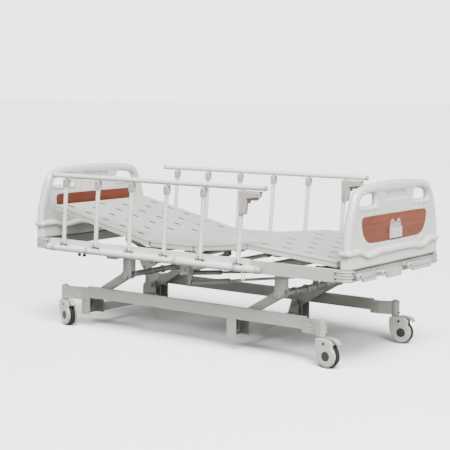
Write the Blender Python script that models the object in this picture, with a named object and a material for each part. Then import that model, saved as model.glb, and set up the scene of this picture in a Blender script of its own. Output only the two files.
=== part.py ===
"""Adjustable hospital bed with three cranks, folding side guards and four castors.

Metres, +Z up. +X points to the foot end and +Y to the bed's far side. Every shape is drawn in the
bed frame, whose zero is the middle of the upper frame at floor level; the empty "bed_datum" then
shifts the whole bed so that the middle of its bounding box stands over the world origin.
"""
import math

import bmesh
import bpy
from mathutils import Matrix, Vector

# ------------------------------------------------------------------ driving dimensions
GAP = 0.0003                     # clearance between pieces that touch
RUN = 0.001                      # running clearance of pins and shafts

FRAME_END = 1.076                # outer face of the corner castings
RAIL_IN, RAIL_OUT = 0.441, 0.471
RAIL_LOW, RAIL_TOP = 0.450, 0.512
RAIL_END = 0.9895

BASE_IN, BASE_OUT = 0.330, 0.360
BASE_LOW, BASE_TOP = 0.173, 0.235
STEM_X = {"head": -0.920, "foot": 0.868}
STEM_Y = 0.376
STEM_RADIUS = 0.0225
STEM_BORE = 0.0125

WHEEL_RADIUS = 0.0625
WHEEL_HALF = 0.014
CASTOR_TRAIL = 0.042
SHELL_RADIUS = 0.065
SHELL_HALF = 0.030
SHELL_CENTRE = Vector((0.037, 0.0, 0.082))
CASTOR_TURN = {"near_head": -20, "far_head": 8, "near_foot": -6, "far_foot": 10}

LOWER_PIVOT = {"head": Vector((-0.775, 0.0, 0.168)), "foot": Vector((0.285, 0.0, 0.168))}
ARM_VECTOR = Vector((0.262, 0.0, 0.152))
ARM_IN, ARM_OUT = 0.2665, 0.2955
TORQUE_RADIUS = 0.0175
LINK_Y = 0.140
LINK_LEVER = 0.052

HANGER_BACK = {"head": -0.532, "foot": 0.523}
HANGER_WIDTH = 0.060
CROSS_TUBE = {"head": (0.430, 0.462), "foot": (0.455, 0.495)}

DECK_HALF = 0.400
DECK_TOP = 0.552
SLAB = 0.035
SHEET = 0.003
HINGE_DROP = 0.008               # hinge axis below the deck's top face
JOINT_GAP = 0.006                # half the gap between two deck sections
BACK_HINGE = Vector((-0.244, 0.0, DECK_TOP - HINGE_DROP))
THIGH_HINGE = Vector((0.060, 0.0, DECK_TOP - HINGE_DROP))
BACK_LENGTH, THIGH_LENGTH, LEG_LENGTH = 0.736, 0.357, 0.545
BACK_REST, THIGH_REST, LEG_REST = 12.2, 6.43, -4.77
KNEE_DROP = 0.030                # knee axis below the deck's top face

LIFT_Y = 0.330
ROLLER_RADIUS = 0.018
NOTCH_HALF, NOTCH_LIP = 0.016, 0.004   # half width of a flange notch, and the flange left above it
LIFT_TUBE = 0.0135
BACK_LIFT = {"pivot": Vector((-0.195, 0.0, 0.440)), "arm": 0.280, "angle": 180 - 20.0,
             "lever": 0.090, "lever_angle": -90 + 12.1, "lever_y": -0.195, "eye_gap": 0.0085}
KNEE_LIFT = {"pivot": Vector((0.040, 0.0, 0.420)), "arm": 0.220, "angle": 25.5,
             "lever": 0.080, "lever_angle": -90 - 9.07, "lever_y": -0.390, "eye_gap": 0.0085}
HEIGHT_LEVER = {"lever": 0.095, "lever_angle": 90 - 2.5, "lever_y": 0.060, "eye_gap": 0.0120}

TUBE_RADIUS, TUBE_BORE = 0.0135, 0.0095
SCREW_RADIUS = 0.0075
PIN_RADIUS = 0.005
JOINT_X = 0.992                  # universal joint between crank stub and screw
CRANK_Z = 0.482
CRANKS = {                       # y of the axis, reach of the arm, face of the arm
    "knee": (-0.410, 0.161, 1.090),
    "back": (-0.213, 0.176, 1.114),
    "height": (0.100, 0.233, 1.090),
}
CRANK_THICK = 0.010
GRIP_RADIUS = 0.0085
CRANK_REACH = 1.114 + CRANK_THICK / 2 + GRIP_RADIUS

GUARD_Y = 0.500
POST_X = [-0.807 + 0.2478 * i for i in range(6)]
POST_FOOT, POST_HEAD = 0.508, 0.862
POST_LEAN = 0.025
POST_RADIUS = 0.012
TOP_RAIL_X = (-0.884, 0.601)
TOP_RAIL_Z = 0.8895
LOW_RAIL_X = (-0.950, 0.552)
LOW_RAIL_Y, LOW_RAIL_Z, LOW_RAIL_RADIUS = 0.4925, 0.471, 0.019

BOARD_FACE = 1.071
BOARD_LOW = 0.5125
BOARD_TOP = 0.928

DATUM_X = -(CRANK_REACH - FRAME_END) / 2

# ------------------------------------------------------------------ finishes
FINISHES = {
    "grey_coat": ((0.60, 0.60, 0.56), 0.42, 0.0),
    "board_white": ((0.68, 0.68, 0.65), 0.38, 0.0),
    "castor_grey": ((0.58, 0.58, 0.55), 0.45, 0.0),
    "tyre_black": ((0.02, 0.02, 0.02), 0.70, 0.0),
    "steel": ((0.45, 0.45, 0.44), 0.35, 1.0),
    "aluminium": ((0.74, 0.74, 0.71), 0.38, 0.6),
    "trigger_red": ((0.18, 0.01, 0.02), 0.40, 0.0),
}


def clear_scene():
    for item in list(bpy.data.objects):
        bpy.data.objects.remove(item)


def make_finishes():
    made = {}
    for name, (colour, roughness, metallic) in FINISHES.items():
        finish = bpy.data.materials.new(name)
        finish.use_nodes = True
        shader = finish.node_tree.nodes["Principled BSDF"]
        shader.inputs["Base Color"].default_value = (*colour, 1.0)
        shader.inputs["Roughness"].default_value = roughness
        shader.inputs["Metallic"].default_value = metallic
        made[name] = finish
    return made


# ------------------------------------------------------------------ solids
def solid_from(bm):
    bmesh.ops.recalc_face_normals(bm, faces=bm.faces)
    mesh = bpy.data.meshes.new("solid")
    bm.to_mesh(mesh)
    bm.free()
    item = bpy.data.objects.new("solid", mesh)
    bpy.context.scene.collection.objects.link(item)
    return item


def block(low, high, bevel=0.0, segments=1):
    """A box between two corners, with all its edges rounded where bevel is given."""
    low, high = Vector(low), Vector(high)
    bm = bmesh.new()
    bmesh.ops.create_cube(bm, size=1.0)
    size = high - low
    bmesh.ops.scale(bm, vec=[abs(value) for value in size], verts=bm.verts)
    bmesh.ops.translate(bm, vec=(low + high) / 2, verts=bm.verts)
    if bevel:
        bmesh.ops.bevel(bm, geom=bm.edges, offset=bevel, segments=segments, affect="EDGES", profile=0.5)
    return solid_from(bm)


def prism(outline, axis, low, high):
    """A flat outline pushed from low to high along "x", "y" or "z"."""
    place = {
        "x": lambda u, v, w: (w, u, v),
        "y": lambda u, v, w: (u, w, v),
        "z": lambda u, v, w: (u, v, w),
    }[axis]
    bm = bmesh.new()
    face = bm.faces.new([bm.verts.new(place(u, v, low)) for u, v in outline])
    moved = bmesh.ops.extrude_face_region(bm, geom=[face])["geom"]
    shift = Vector(place(0.0, 0.0, high - low))
    bmesh.ops.translate(bm, vec=shift, verts=[v for v in moved if isinstance(v, bmesh.types.BMVert)])
    return solid_from(bm)


def rod(start, end, radius, segments=16, end_radius=None):
    """A round bar, or a cone frustum, between two points."""
    start, end = Vector(start), Vector(end)
    bm = bmesh.new()
    bmesh.ops.create_cone(bm, cap_ends=True, segments=segments, radius1=radius,
                          radius2=radius if end_radius is None else end_radius,
                          depth=(end - start).length)
    turn = (end - start).to_track_quat("Z", "Y").to_matrix().to_4x4()
    bmesh.ops.transform(bm, matrix=Matrix.Translation((start + end) / 2) @ turn, verts=bm.verts)
    return solid_from(bm)


def turned(profile, centre, segments=20):
    """A profile of (radius, y) points turned about the Y axis through centre."""
    bm = bmesh.new()
    rings = []
    for index in range(segments):
        angle = 2 * math.pi * index / segments
        rings.append([bm.verts.new((centre[0] + r * math.cos(angle), centre[1] + y,
                                    centre[2] + r * math.sin(angle))) for r, y in profile])
    count = len(profile)
    for index in range(segments):
        here, there = rings[index], rings[(index + 1) % segments]
        for step in range(count):
            following = (step + 1) % count
            bm.faces.new((here[step], here[following], there[following], there[step]))
    return solid_from(bm)


def arc(centre, radius, first, last, steps):
    """Points on a circle from first to last degrees."""
    points = []
    for index in range(steps + 1):
        angle = math.radians(first + (last - first) * index / steps)
        points.append((centre[0] + radius * math.cos(angle), centre[1] + radius * math.sin(angle)))
    return points


def strap(start, end, start_radius, end_radius=None, steps=6):
    """Outline of a link with a round end about each of two points."""
    end_radius = start_radius if end_radius is None else end_radius
    heading = math.degrees(math.atan2(end[1] - start[1], end[0] - start[0]))
    return (arc(start, start_radius, heading + 90, heading + 270, steps)
            + arc(end, end_radius, heading - 90, heading + 90, steps))


def combine(base, others, operation):
    for other in others:
        modifier = base.modifiers.new("combine", "BOOLEAN")
        modifier.operation = operation
        modifier.object = other
        modifier.solver = "EXACT"
    depsgraph = bpy.context.evaluated_depsgraph_get()
    mesh = bpy.data.meshes.new_from_object(base.evaluated_get(depsgraph))
    base.modifiers.clear()
    base.data = mesh
    for other in others:
        bpy.data.objects.remove(other)


class Bed:
    """Keeps the datum and the finishes, and turns groups of solids into named pieces."""

    def __init__(self):
        self.finishes = make_finishes()
        self.datum = bpy.data.objects.new("bed_datum", None)
        self.datum.location = (DATUM_X, 0.0, 0.0)
        bpy.context.scene.collection.objects.link(self.datum)

    def piece(self, name, finish, solids, cuts=(), pivot=(0.0, 0.0, 0.0), turn=None):
        """Fuses solids, cuts the cutters out, and sets the origin on the piece's pivot."""
        item = solids[0]
        if len(solids) > 1:
            combine(item, solids[1:], "UNION")
        if cuts:
            combine(item, list(cuts), "DIFFERENCE")
        pivot = Vector(pivot)
        mesh = item.data
        if turn is not None:
            mesh.transform(Matrix.Translation(pivot) @ turn @ Matrix.Translation(-pivot))
        mesh.transform(Matrix.Translation(-pivot))
        bm = bmesh.new()
        bm.from_mesh(mesh)
        bmesh.ops.remove_doubles(bm, verts=bm.verts, dist=0.00001)
        bmesh.ops.dissolve_limit(bm, angle_limit=math.radians(0.5), verts=bm.verts, edges=bm.edges)
        bmesh.ops.triangulate(bm, faces=bm.faces)
        bm.to_mesh(mesh)
        bm.free()
        item.name = name
        mesh.name = name
        mesh.materials.clear()
        mesh.materials.append(self.finishes[finish])
        mesh.shade_smooth()
        mesh.set_sharp_from_angle(angle=math.radians(35))
        item.location = pivot
        item.parent = self.datum
        return item


# ------------------------------------------------------------------ base
def base_frame(bed):
    """Two long rails with cast ends and castor sockets, four drop legs and two low beams."""
    solids, cuts = [], []
    for side in (-1, 1):
        solids.append(block((-0.760, side * BASE_IN, BASE_LOW), (0.745, side * BASE_OUT, BASE_TOP)))
        for end, stem_x in STEM_X.items():
            out = 1 if end == "foot" else -1
            root = 0.735 if end == "foot" else -0.750
            outline = [
                (root, side * 0.3290), (root, side * 0.3610), (root + out * 0.045, side * 0.3650),
                (stem_x - out * 0.018, side * 0.3960), (stem_x, side * 0.3900),
                (stem_x, side * 0.3620), (stem_x - out * 0.018, side * 0.3560),
                (root + out * 0.050, side * 0.3330),
            ]
            solids.append(prism(outline, "z", 0.157, 0.226))
            foot = Vector((stem_x, side * STEM_Y, 0.155))
            solids.append(rod(foot, foot + Vector((0, 0, 0.076)), STEM_RADIUS, 20))
            solids.append(rod(foot + Vector((0, 0, 0.075)), foot + Vector((0, 0, 0.083)),
                              STEM_RADIUS - 0.001, 20, 0.012))
            cuts.append(rod(foot - Vector((0, 0, 0.01)), foot + Vector((0, 0, 0.060)), STEM_BORE, 16))
    for end, pivot in LOWER_PIVOT.items():
        drop_leg_pair(end, pivot, solids, cuts)
    bed.piece("base_frame", "grey_coat", solids, cuts)


def drop_leg_pair(end, pivot, solids, cuts):
    """The channel legs under both rails with their pivot plates, and the low beam between them."""
    back, front = pivot.x - 0.028, pivot.x + 0.032
    lean = -0.068 if end == "head" else -0.036
    shoulder = 0.172 if end == "head" else 0.112
    neck = -0.045 if end == "head" else -0.012
    plate = [(pivot.x + lean, 0.070), (front, 0.070), (front, 0.150), (pivot.x + 0.020, 0.190),
             (pivot.x + neck, 0.192), (pivot.x + lean, shoulder)]
    for side in (-1, 1):
        solids.append(prism(plate, "y", side * 0.2350, side * 0.2410))
        solids.append(block((back, side * 0.354, 0.0702), (front, side * 0.3598, 0.180)))
        solids.append(block((back, side * 0.2360, 0.0701), (back + 0.006, side * 0.3590, 0.138)))
        solids.append(block((back, side * 0.3035, 0.100), (back + 0.006, side * 0.3592, 0.179)))
        solids.append(block((back + 0.001, side * 0.3030, 0.100), (pivot.x + 0.014, side * 0.3090, 0.188)))
        cuts.append(rod((pivot.x, side * 0.225, pivot.z), (pivot.x, side * 0.315, pivot.z),
                        0.008 + RUN, 12))
        if end == "head":
            hole = (pivot.x - 0.041, pivot.z - 0.020)
            cuts.append(rod((hole[0], side * 0.225, hole[1]), (hole[0], side * 0.250, hole[1]), 0.006, 10))
    solids.append(block((pivot.x - 0.021, -0.238, 0.075), (pivot.x + 0.019, 0.238, 0.120)))


def castor(bed, corner):
    """Swivelling twin shell with its stem, the wheel in it and the brake pedal on top."""
    side = -1 if corner.startswith("near") else 1
    end = corner.split("_")[1]
    stem = Vector((STEM_X[end], side * STEM_Y, 0.0))
    turn = Matrix.Rotation(math.radians(CASTOR_TURN[corner]), 4, "Z")
    hub = stem + Vector((CASTOR_TRAIL, 0, WHEEL_RADIUS))
    middle = stem + SHELL_CENTRE

    cover = rod(middle - Vector((0, SHELL_HALF, 0)), middle + Vector((0, SHELL_HALF, 0)), SHELL_RADIUS, 28)
    neck = rod(stem + Vector((0, 0, 0.1285)), stem + Vector((0, 0, 0.1535)), 0.022, 16)
    pin = rod(stem + Vector((0, 0, 0.150)), stem + Vector((0, 0, 0.212)), 0.011, 12)
    slot_half = WHEEL_HALF + 0.0015
    well = rod(hub - Vector((0, slot_half, 0)), hub + Vector((0, slot_half, 0)), WHEEL_RADIUS + 0.003, 28)
    mouth = block(hub + Vector((-0.0655, -slot_half, -0.070)), hub + Vector((0.0655, slot_half, 0)))
    combine(cover, [well, mouth], "DIFFERENCE")
    axle = rod(hub - Vector((0, 0.028, 0)), hub + Vector((0, 0.028, 0)), 0.006, 12)
    bed.piece(f"castor_shell_{corner}", "castor_grey", [cover, neck, pin, axle], pivot=stem, turn=turn)

    rim = WHEEL_HALF
    profile = [(0.0065, -rim), (0.0065, rim), (0.052, rim), (0.060, 0.009), (WHEEL_RADIUS, 0.003),
               (WHEEL_RADIUS, -0.003), (0.060, -0.009), (0.052, -rim)]
    wheel = turned(profile, hub, 28)
    wheel_pivot = stem + turn @ (hub - stem)
    bed_turn = Matrix.Translation(wheel_pivot - hub)
    wheel.data.transform(bed_turn)
    bed.piece(f"castor_wheel_{corner}", "tyre_black", [wheel], pivot=wheel_pivot, turn=turn)

    side_view = [(0.032, 0.1475), (0.062, 0.1480), (0.098, 0.1350), (0.108, 0.1230), (0.112, 0.1270),
                 (0.100, 0.1420), (0.062, 0.1535), (0.032, 0.1545)]
    pedal = prism([(stem.x + x, z) for x, z in side_view], "y", stem.y - 0.014, stem.y + 0.014)
    bed.piece(f"brake_pedal_{corner}", "castor_grey", [pedal], pivot=stem, turn=turn)


# ------------------------------------------------------------------ height linkage
def lift_arm(bed, end):
    """Two arms and the torque tube that joins their upper ends, with its levers."""
    low = LOWER_PIVOT[end]
    top = low + ARM_VECTOR
    solids = [rod((top.x, -0.3035, top.z), (top.x, 0.3035, top.z), TORQUE_RADIUS, 20)]
    for side in (-1, 1):
        outline = strap((low.x, low.z), (top.x, top.z), 0.021, 0.024)
        solids.append(prism(outline, "y", side * ARM_IN, side * ARM_OUT))
        solids.append(rod((top.x, side * 0.3031, top.z), (top.x, side * 0.3095, top.z), 0.025, 20))
        solids.append(rod((low.x, side * 0.2305, low.z), (low.x, side * 0.3115, low.z), 0.008, 12))
    tip = (top.x, top.z + LINK_LEVER)
    solids.append(prism(strap((top.x, top.z), tip, 0.024, 0.011), "y", LINK_Y - 0.004, LINK_Y + 0.004))
    solids.append(rod((tip[0], LINK_Y, tip[1]), (tip[0], LINK_Y + 0.016, tip[1]), PIN_RADIUS, 10))
    if end == "foot":
        add_lever(solids, top, HEIGHT_LEVER, 0.022)
    bed.piece(f"lift_arm_{end}", "grey_coat", solids, pivot=low)


def lever_tip(pivot, lever):
    angle = math.radians(lever["lever_angle"])
    return Vector((pivot.x + lever["lever"] * math.cos(angle), lever["lever_y"],
                   pivot.z + lever["lever"] * math.sin(angle)))


def add_lever(solids, pivot, lever, root_radius):
    """A flat lever on a torque tube with a cross pin that stands out towards the tube's eye."""
    tip = lever_tip(pivot, lever)
    outline = strap((pivot.x, pivot.z), (tip.x, tip.z), root_radius, 0.010)
    solids.append(prism(outline, "y", tip.y - 0.004, tip.y + 0.004))
    solids.append(rod(tip, tip + Vector((0, lever["eye_gap"] + 0.0075, 0)), PIN_RADIUS, 10))


def hi_lo_link(bed):
    """The flat bar that makes the foot and head torque tubes turn together."""
    pins = [LOWER_PIVOT[end] + ARM_VECTOR + Vector((0, 0, LINK_LEVER)) for end in ("head", "foot")]
    low, high = LINK_Y + 0.0065, LINK_Y + 0.0125
    bar = prism(strap((pins[0].x, pins[0].z), (pins[1].x, pins[1].z), 0.011), "y", low, high)
    cuts = [rod((pin.x, low - 0.01, pin.z), (pin.x, high + 0.01, pin.z), PIN_RADIUS + RUN, 12) for pin in pins]
    bed.piece("hi_lo_link", "grey_coat", [bar], cuts, pivot=pins[1])


# ------------------------------------------------------------------ upper frame
def side_rail(bed, name, side):
    """A frame side with the bearing brackets of the back and knee torque tubes."""
    rail = block((-RAIL_END + 0.036, side * RAIL_IN, RAIL_LOW), (RAIL_END, side * RAIL_OUT, RAIL_TOP))
    back, knee = BACK_LIFT["pivot"], KNEE_LIFT["pivot"]
    face_in, face_out = side * 0.4230, side * (RAIL_IN + 0.004)
    hanging = [(-0.290, 0.455), (-0.262, 0.404), *arc((-0.246, 0.408), 0.014, 200, 320, 4),
               (back.x + 0.004, 0.418), (back.x + 0.024, 0.430), (back.x + 0.026, 0.470), (-0.290, 0.470)]
    brackets = [
        prism(hanging, "y", face_in, face_out),
        block((knee.x - 0.026, face_in, knee.z - 0.024), (knee.x + 0.026, face_out, 0.470)),
    ]
    cuts = [rod((at.x, side * 0.41, at.z), (at.x, side * 0.4385, at.z), LIFT_TUBE + RUN, 16) for at in (back, knee)]
    cuts.append(rod((-0.246, side * 0.41, 0.408), (-0.246, side * 0.46, 0.408), 0.006, 10))
    bed.piece(name, "grey_coat", [rail, *brackets], cuts)


def end_beam(bed, name, end):
    """A frame end with its two rounded corner castings."""
    out = 1 if end == "foot" else -1
    inner = RAIL_END + GAP if end == "foot" else RAIL_END - 0.036 + GAP
    beam = block((out * 1.030, -0.440, 0.4515), (out * 1.060, 0.440, 0.5010))
    solids = [beam]
    radius = 0.042
    for side in (-1, 1):
        corner = arc((FRAME_END - radius, 0.4745 - radius), radius, 90, 0, 6)
        outline = [(inner, 0.4400), (inner, 0.4745), *corner, (FRAME_END, 0.4285), (1.0310, 0.4285),
                   (1.0300, 0.4390)]
        outline = [(out * x, side * y) for x, y in outline]
        solids.append(prism(outline, "z", 0.4540, 0.5120))
    cuts = []
    if end == "foot":
        for y, _, _ in CRANKS.values():
            cuts.append(rod((1.020, y, CRANK_Z), (1.070, y, CRANK_Z), 0.0115, 14))
    bed.piece(name, "grey_coat", solids, cuts)


def hanger(bed, name, end):
    """A cross tube between the frame sides with two channel legs that carry the torque tube."""
    pivot = LOWER_PIVOT[end] + ARM_VECTOR
    back = HANGER_BACK[end]
    front = back + HANGER_WIDTH
    low, high = CROSS_TUBE[end]
    solids = [block((back, -RAIL_IN + GAP, low), (front, RAIL_IN - GAP, high))]
    cuts = []
    for side in (-1, 1):
        middle = (back + front) / 2
        leg = [(back, 0.445), *arc((middle, 0.326), HANGER_WIDTH / 2, 180, 360, 8), (front, 0.445)]
        if end == "foot":
            leg = [(x, z + 0.020 if z > 0.44 else z) for x, z in leg]
        solids.append(prism(leg, "y", side * 0.2595, side * 0.2655))
        solids.append(prism(leg, "y", side * 0.2965, side * 0.3025))
        solids.append(block((front - 0.006, side * 0.2600, 0.345), (front - 0.0002, side * 0.3020, low + 0.010)))
        cuts.append(rod((pivot.x, side * 0.250, pivot.z), (pivot.x, side * 0.3030, pivot.z),
                        TORQUE_RADIUS + RUN, 20))
    bed.piece(name, "grey_coat", solids, cuts)


def board(bed, name, end):
    """A moulded end board: lower panel, rounded upper panel and two hand holes."""
    out = 1 if end == "foot" else -1
    half = [(0.470, 0.596), (0.467, 0.660), (0.460, 0.710), (0.446, 0.735), (0.428, 0.790)]
    half += arc((0.318, 0.812), 0.102, 8, 72, 7)
    crown = [(0.330 - 0.066 * step, BOARD_TOP - 0.017 * (1 - step / 5) ** 2) for step in range(1, 6)]
    half += crown
    outline = half + [(-y, z) for y, z in reversed(half[:-1])]
    lower = block((out * (BOARD_FACE - 0.060), -0.460, BOARD_LOW), (out * BOARD_FACE, 0.460, 0.600))
    upper = prism(outline, "x", out * (BOARD_FACE - 0.052), out * (BOARD_FACE - 0.004))
    cuts = []
    for side in (-1, 1):
        hole = []
        for y, z, first in ((0.352, 0.836, -90), (0.352, 0.856, 0), (0.214, 0.856, 90), (0.214, 0.836, 180)):
            hole += arc((y, z), 0.013, first, first + 90, 3)
        hole = [(side * y, z) for y, z in hole]
        cuts.append(prism(hole, "x", out * 0.98, out * 1.10))
    bed.piece(name, "board_white", [lower, upper], cuts)


# ------------------------------------------------------------------ deck
def arm_notches(x, underside):
    """Cuts through an end flange at x, below the sheet's underside, where the back lift's arms swing past."""
    return [block((x - 0.010, side * LIFT_Y - NOTCH_HALF, underside - SLAB - 0.01),
                  (x + 0.010, side * LIFT_Y + NOTCH_HALF, underside - NOTCH_LIP)) for side in (-1, 1)]


def deck_section(bed, name, hinge, first, last, rise, top, notched=False):
    """A sheet metal section: a flat tray, open below, turned up by rise degrees about its hinge."""
    low, high = sorted((first, last))
    base = Vector((hinge.x, 0.0, hinge.z))
    tray = block(base + Vector((low, -DECK_HALF, top - SLAB)), base + Vector((high, DECK_HALF, top)))
    hollow = block(base + Vector((low + SHEET, -DECK_HALF + SHEET, top - SLAB - 0.01)),
                   base + Vector((high - SHEET, DECK_HALF - SHEET, top - SHEET)))
    cuts = [hollow] + (arm_notches(base.x + first, base.z + top - SHEET) if notched else [])
    turn = Matrix.Rotation(math.radians(rise), 4, "Y")
    bed.piece(name, "grey_coat", [tray], cuts, pivot=hinge, turn=turn)


def deck(bed):
    seat_low, seat_high = BACK_HINGE.x + JOINT_GAP, THIGH_HINGE.x - JOINT_GAP
    seat = block((seat_low, -DECK_HALF, DECK_TOP - SLAB), (seat_high, DECK_HALF, DECK_TOP))
    hollow = block((seat_low + SHEET, -DECK_HALF + SHEET, DECK_TOP - SLAB - 0.01),
                   (seat_high - SHEET, DECK_HALF - SHEET, DECK_TOP - SHEET))
    combine(seat, [hollow, *arm_notches(seat_low, DECK_TOP - SHEET)], "DIFFERENCE")
    lugs = []
    for side in (-1, 1):
        for x in (seat_low + 0.030, seat_high - 0.060):
            lugs.append(block((x, side * (DECK_HALF - 0.0015), 0.4950), (x + 0.030, side * (RAIL_IN - GAP), 0.5350)))
    bed.piece("seat_section", "grey_coat", [seat, *lugs])
    deck_section(bed, "back_section", BACK_HINGE, -JOINT_GAP, -BACK_LENGTH, BACK_REST, HINGE_DROP, True)
    deck_section(bed, "thigh_section", THIGH_HINGE, JOINT_GAP, THIGH_LENGTH - JOINT_GAP, -THIGH_REST, HINGE_DROP)
    deck_section(bed, "leg_section", knee_axis(), JOINT_GAP, LEG_LENGTH, -LEG_REST, KNEE_DROP)


def knee_axis():
    rise = math.radians(THIGH_REST)
    along, drop = THIGH_LENGTH - 0.002, HINGE_DROP - KNEE_DROP
    return THIGH_HINGE + Vector((along * math.cos(rise) - drop * math.sin(rise), 0.0,
                                 along * math.sin(rise) + drop * math.cos(rise)))


def deck_lift(bed, name, lift):
    """A torque tube with two roller arms under a deck section and a lever for its push tube."""
    pivot = lift["pivot"]
    angle = math.radians(lift["angle"])
    roller = (pivot.x + lift["arm"] * math.cos(angle), pivot.z + lift["arm"] * math.sin(angle))
    solids = [rod((pivot.x, -0.4375, pivot.z), (pivot.x, 0.4375, pivot.z), LIFT_TUBE, 16)]
    for side in (-1, 1):
        outline = strap((pivot.x, pivot.z), roller, 0.018, 0.009)
        solids.append(prism(outline, "y", side * (LIFT_Y - 0.005), side * (LIFT_Y + 0.005)))
        solids.append(rod((roller[0], side * (LIFT_Y - 0.013), roller[1]),
                          (roller[0], side * (LIFT_Y + 0.013), roller[1]), ROLLER_RADIUS, 16))
    add_lever(solids, pivot, lift, 0.018)
    bed.piece(name, "grey_coat", solids, pivot=pivot)


# ------------------------------------------------------------------ cranks and screws
def crank_line(name, pivot, lever):
    """Where a push tube's eye sits and the universal joint that its screw runs back to."""
    eye = lever_tip(pivot, lever) + Vector((0, lever["eye_gap"], 0))
    joint = Vector((JOINT_X, CRANKS[name][0], CRANK_Z))
    return eye, joint


def push_tube(bed, name, pivot, lever, slot_shift, slot_half, tube_length):
    """A bored tube with a slotted eye that takes the lever's pin."""
    eye, joint = crank_line(name, pivot, lever)
    heading = (joint - eye).normalized()
    plate_half = slot_half + 0.008
    plate = block(eye + Vector((-0.014, -0.003, slot_shift - plate_half)),
                  eye + Vector((0.030, 0.003, slot_shift + plate_half)))
    tube = rod(eye + heading * 0.022, eye + heading * tube_length, TUBE_RADIUS, 16)
    bore = rod(eye + heading * 0.060, eye + heading * (tube_length + 0.01), TUBE_BORE, 16)
    slot = block(eye + Vector((-PIN_RADIUS - 0.0015, -0.01, slot_shift - slot_half)),
                 eye + Vector((PIN_RADIUS + 0.0015, 0.01, slot_shift + slot_half)))
    bed.piece(f"{name}_push_tube", "steel", [plate, tube], [bore, slot], pivot=eye)


def screw(bed, name, pivot, lever, tube_length):
    """The crank's screw from its universal joint into the push tube."""
    eye, joint = crank_line(name, pivot, lever)
    heading = (joint - eye).normalized()
    shaft = rod(eye + heading * (tube_length - 0.090), joint - heading * 0.014, SCREW_RADIUS, 14)
    collar = rod(joint - heading * 0.045, joint - heading * 0.0145, 0.0125, 14)
    bed.piece(f"{name}_screw", "steel", [shaft, collar], pivot=joint)


def crank(bed, name):
    """The folding crank: stub, hub and arm, and the grip that folds out from the arm's end."""
    y, reach, face = CRANKS[name]
    axis = Vector((0.0, y, CRANK_Z))
    stub = rod(axis + Vector((JOINT_X + 0.010, 0, 0)), axis + Vector((face + 0.001, 0, 0)), 0.0085, 14)
    collar = rod(axis + Vector((1.0625, 0, 0)), axis + Vector((1.078, 0, 0)), 0.0150, 16)
    hub = rod(axis + Vector((face - 0.006, 0, 0)), axis + Vector((face + CRANK_THICK, 0, 0)), 0.020, 16)
    tip = y + reach - 0.010
    bar = [(y, CRANK_Z - 0.011), *arc((tip, CRANK_Z), 0.010, -90, 90, 6), (y, CRANK_Z + 0.011)]
    arm = prism(bar, "x", face + 0.0002, face + CRANK_THICK - 0.0002)
    bed.piece(f"{name}_crank", "aluminium", [stub, collar, hub, arm], pivot=axis + Vector((face, 0, 0)))

    centre = Vector((face + CRANK_THICK / 2, tip, CRANK_Z - 0.0235))
    grip = rod(centre + Vector((0, 0.008, 0)), centre - Vector((0, reach - 0.040, 0)), GRIP_RADIUS, 12)
    lug = rod(centre + Vector((0, 0, -0.006)), centre + Vector((0, 0, 0.0130)), 0.0065, 10)
    bed.piece(f"{name}_crank_grip", "castor_grey", [grip, lug], pivot=centre)


# ------------------------------------------------------------------ side guards
def guard_top(bed, side_name, side):
    """The oval top rail with a pivot lug over each post."""
    y = side * GUARD_Y
    section = [(y + 0.0135 * math.cos(a), TOP_RAIL_Z + 0.0135 * math.sin(a))
               for a in (2 * math.pi * step / 16 for step in range(16))]
    solids = [prism(section, "x", *TOP_RAIL_X)]
    cuts = []
    for x in POST_X:
        top = x + POST_LEAN
        solids.append(block((top - 0.007, y - 0.0025, POST_HEAD - 0.008), (top + 0.007, y + 0.0025, TOP_RAIL_Z)))
        cuts.append(rod((top, y - 0.01, POST_HEAD), (top, y + 0.01, POST_HEAD), 0.0040, 8))
    pivot = (POST_X[0] + POST_LEAN, y, POST_HEAD)
    bed.piece(f"{side_name}_guard_top_rail", "aluminium", solids, cuts, pivot=pivot)


def guard_post(bed, side_name, side, index):
    """One guard post with its forked cap and pins; the last one carries the latch housing."""
    y = side * GUARD_Y
    low = Vector((POST_X[index], y, POST_FOOT))
    high = Vector((POST_X[index] + POST_LEAN, y, POST_HEAD))
    heading = (high - low).normalized()
    bar = rod(low - heading * 0.006, high - heading * 0.020, POST_RADIUS, 12)
    cap = prism(strap((high.x - heading.x * 0.030, high.z - heading.z * 0.030), (high.x, high.z),
                      0.0130, 0.0118, 5), "y", y - 0.0125, y + 0.0125)
    fork = block(high + Vector((-0.020, -0.0032, -0.0115)), high + Vector((0.020, 0.0032, 0.020)))
    solids = [bar, cap]
    if index == 5:
        body = [(0.006, -0.100), (0.020, -0.092), (0.030, -0.045), (0.036, -0.024), (0.112, -0.020),
                (0.114, -0.002), (0.030, -0.001), (0.004, -0.006)]
        solids.append(prism([(high.x + x, high.z + z) for x, z in body], "y", y - 0.011, y + 0.011))
        notch = block(high + Vector((0.062, -0.0075, -0.030)), high + Vector((0.120, 0.0075, -0.006)))
        combine(solids[-1], [notch], "DIFFERENCE")
    combine(solids[0], solids[1:], "UNION")
    combine(solids[0], [fork], "DIFFERENCE")
    pin = rod(high - Vector((0, 0.011, 0)), high + Vector((0, 0.011, 0)), 0.0030, 8)
    foot_pin = rod(low, low - Vector((0, side * 0.022, 0)), 0.0040, 8)
    bed.piece(f"{side_name}_guard_post_{index + 1}", "aluminium", [solids[0], pin, foot_pin], pivot=low)


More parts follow.
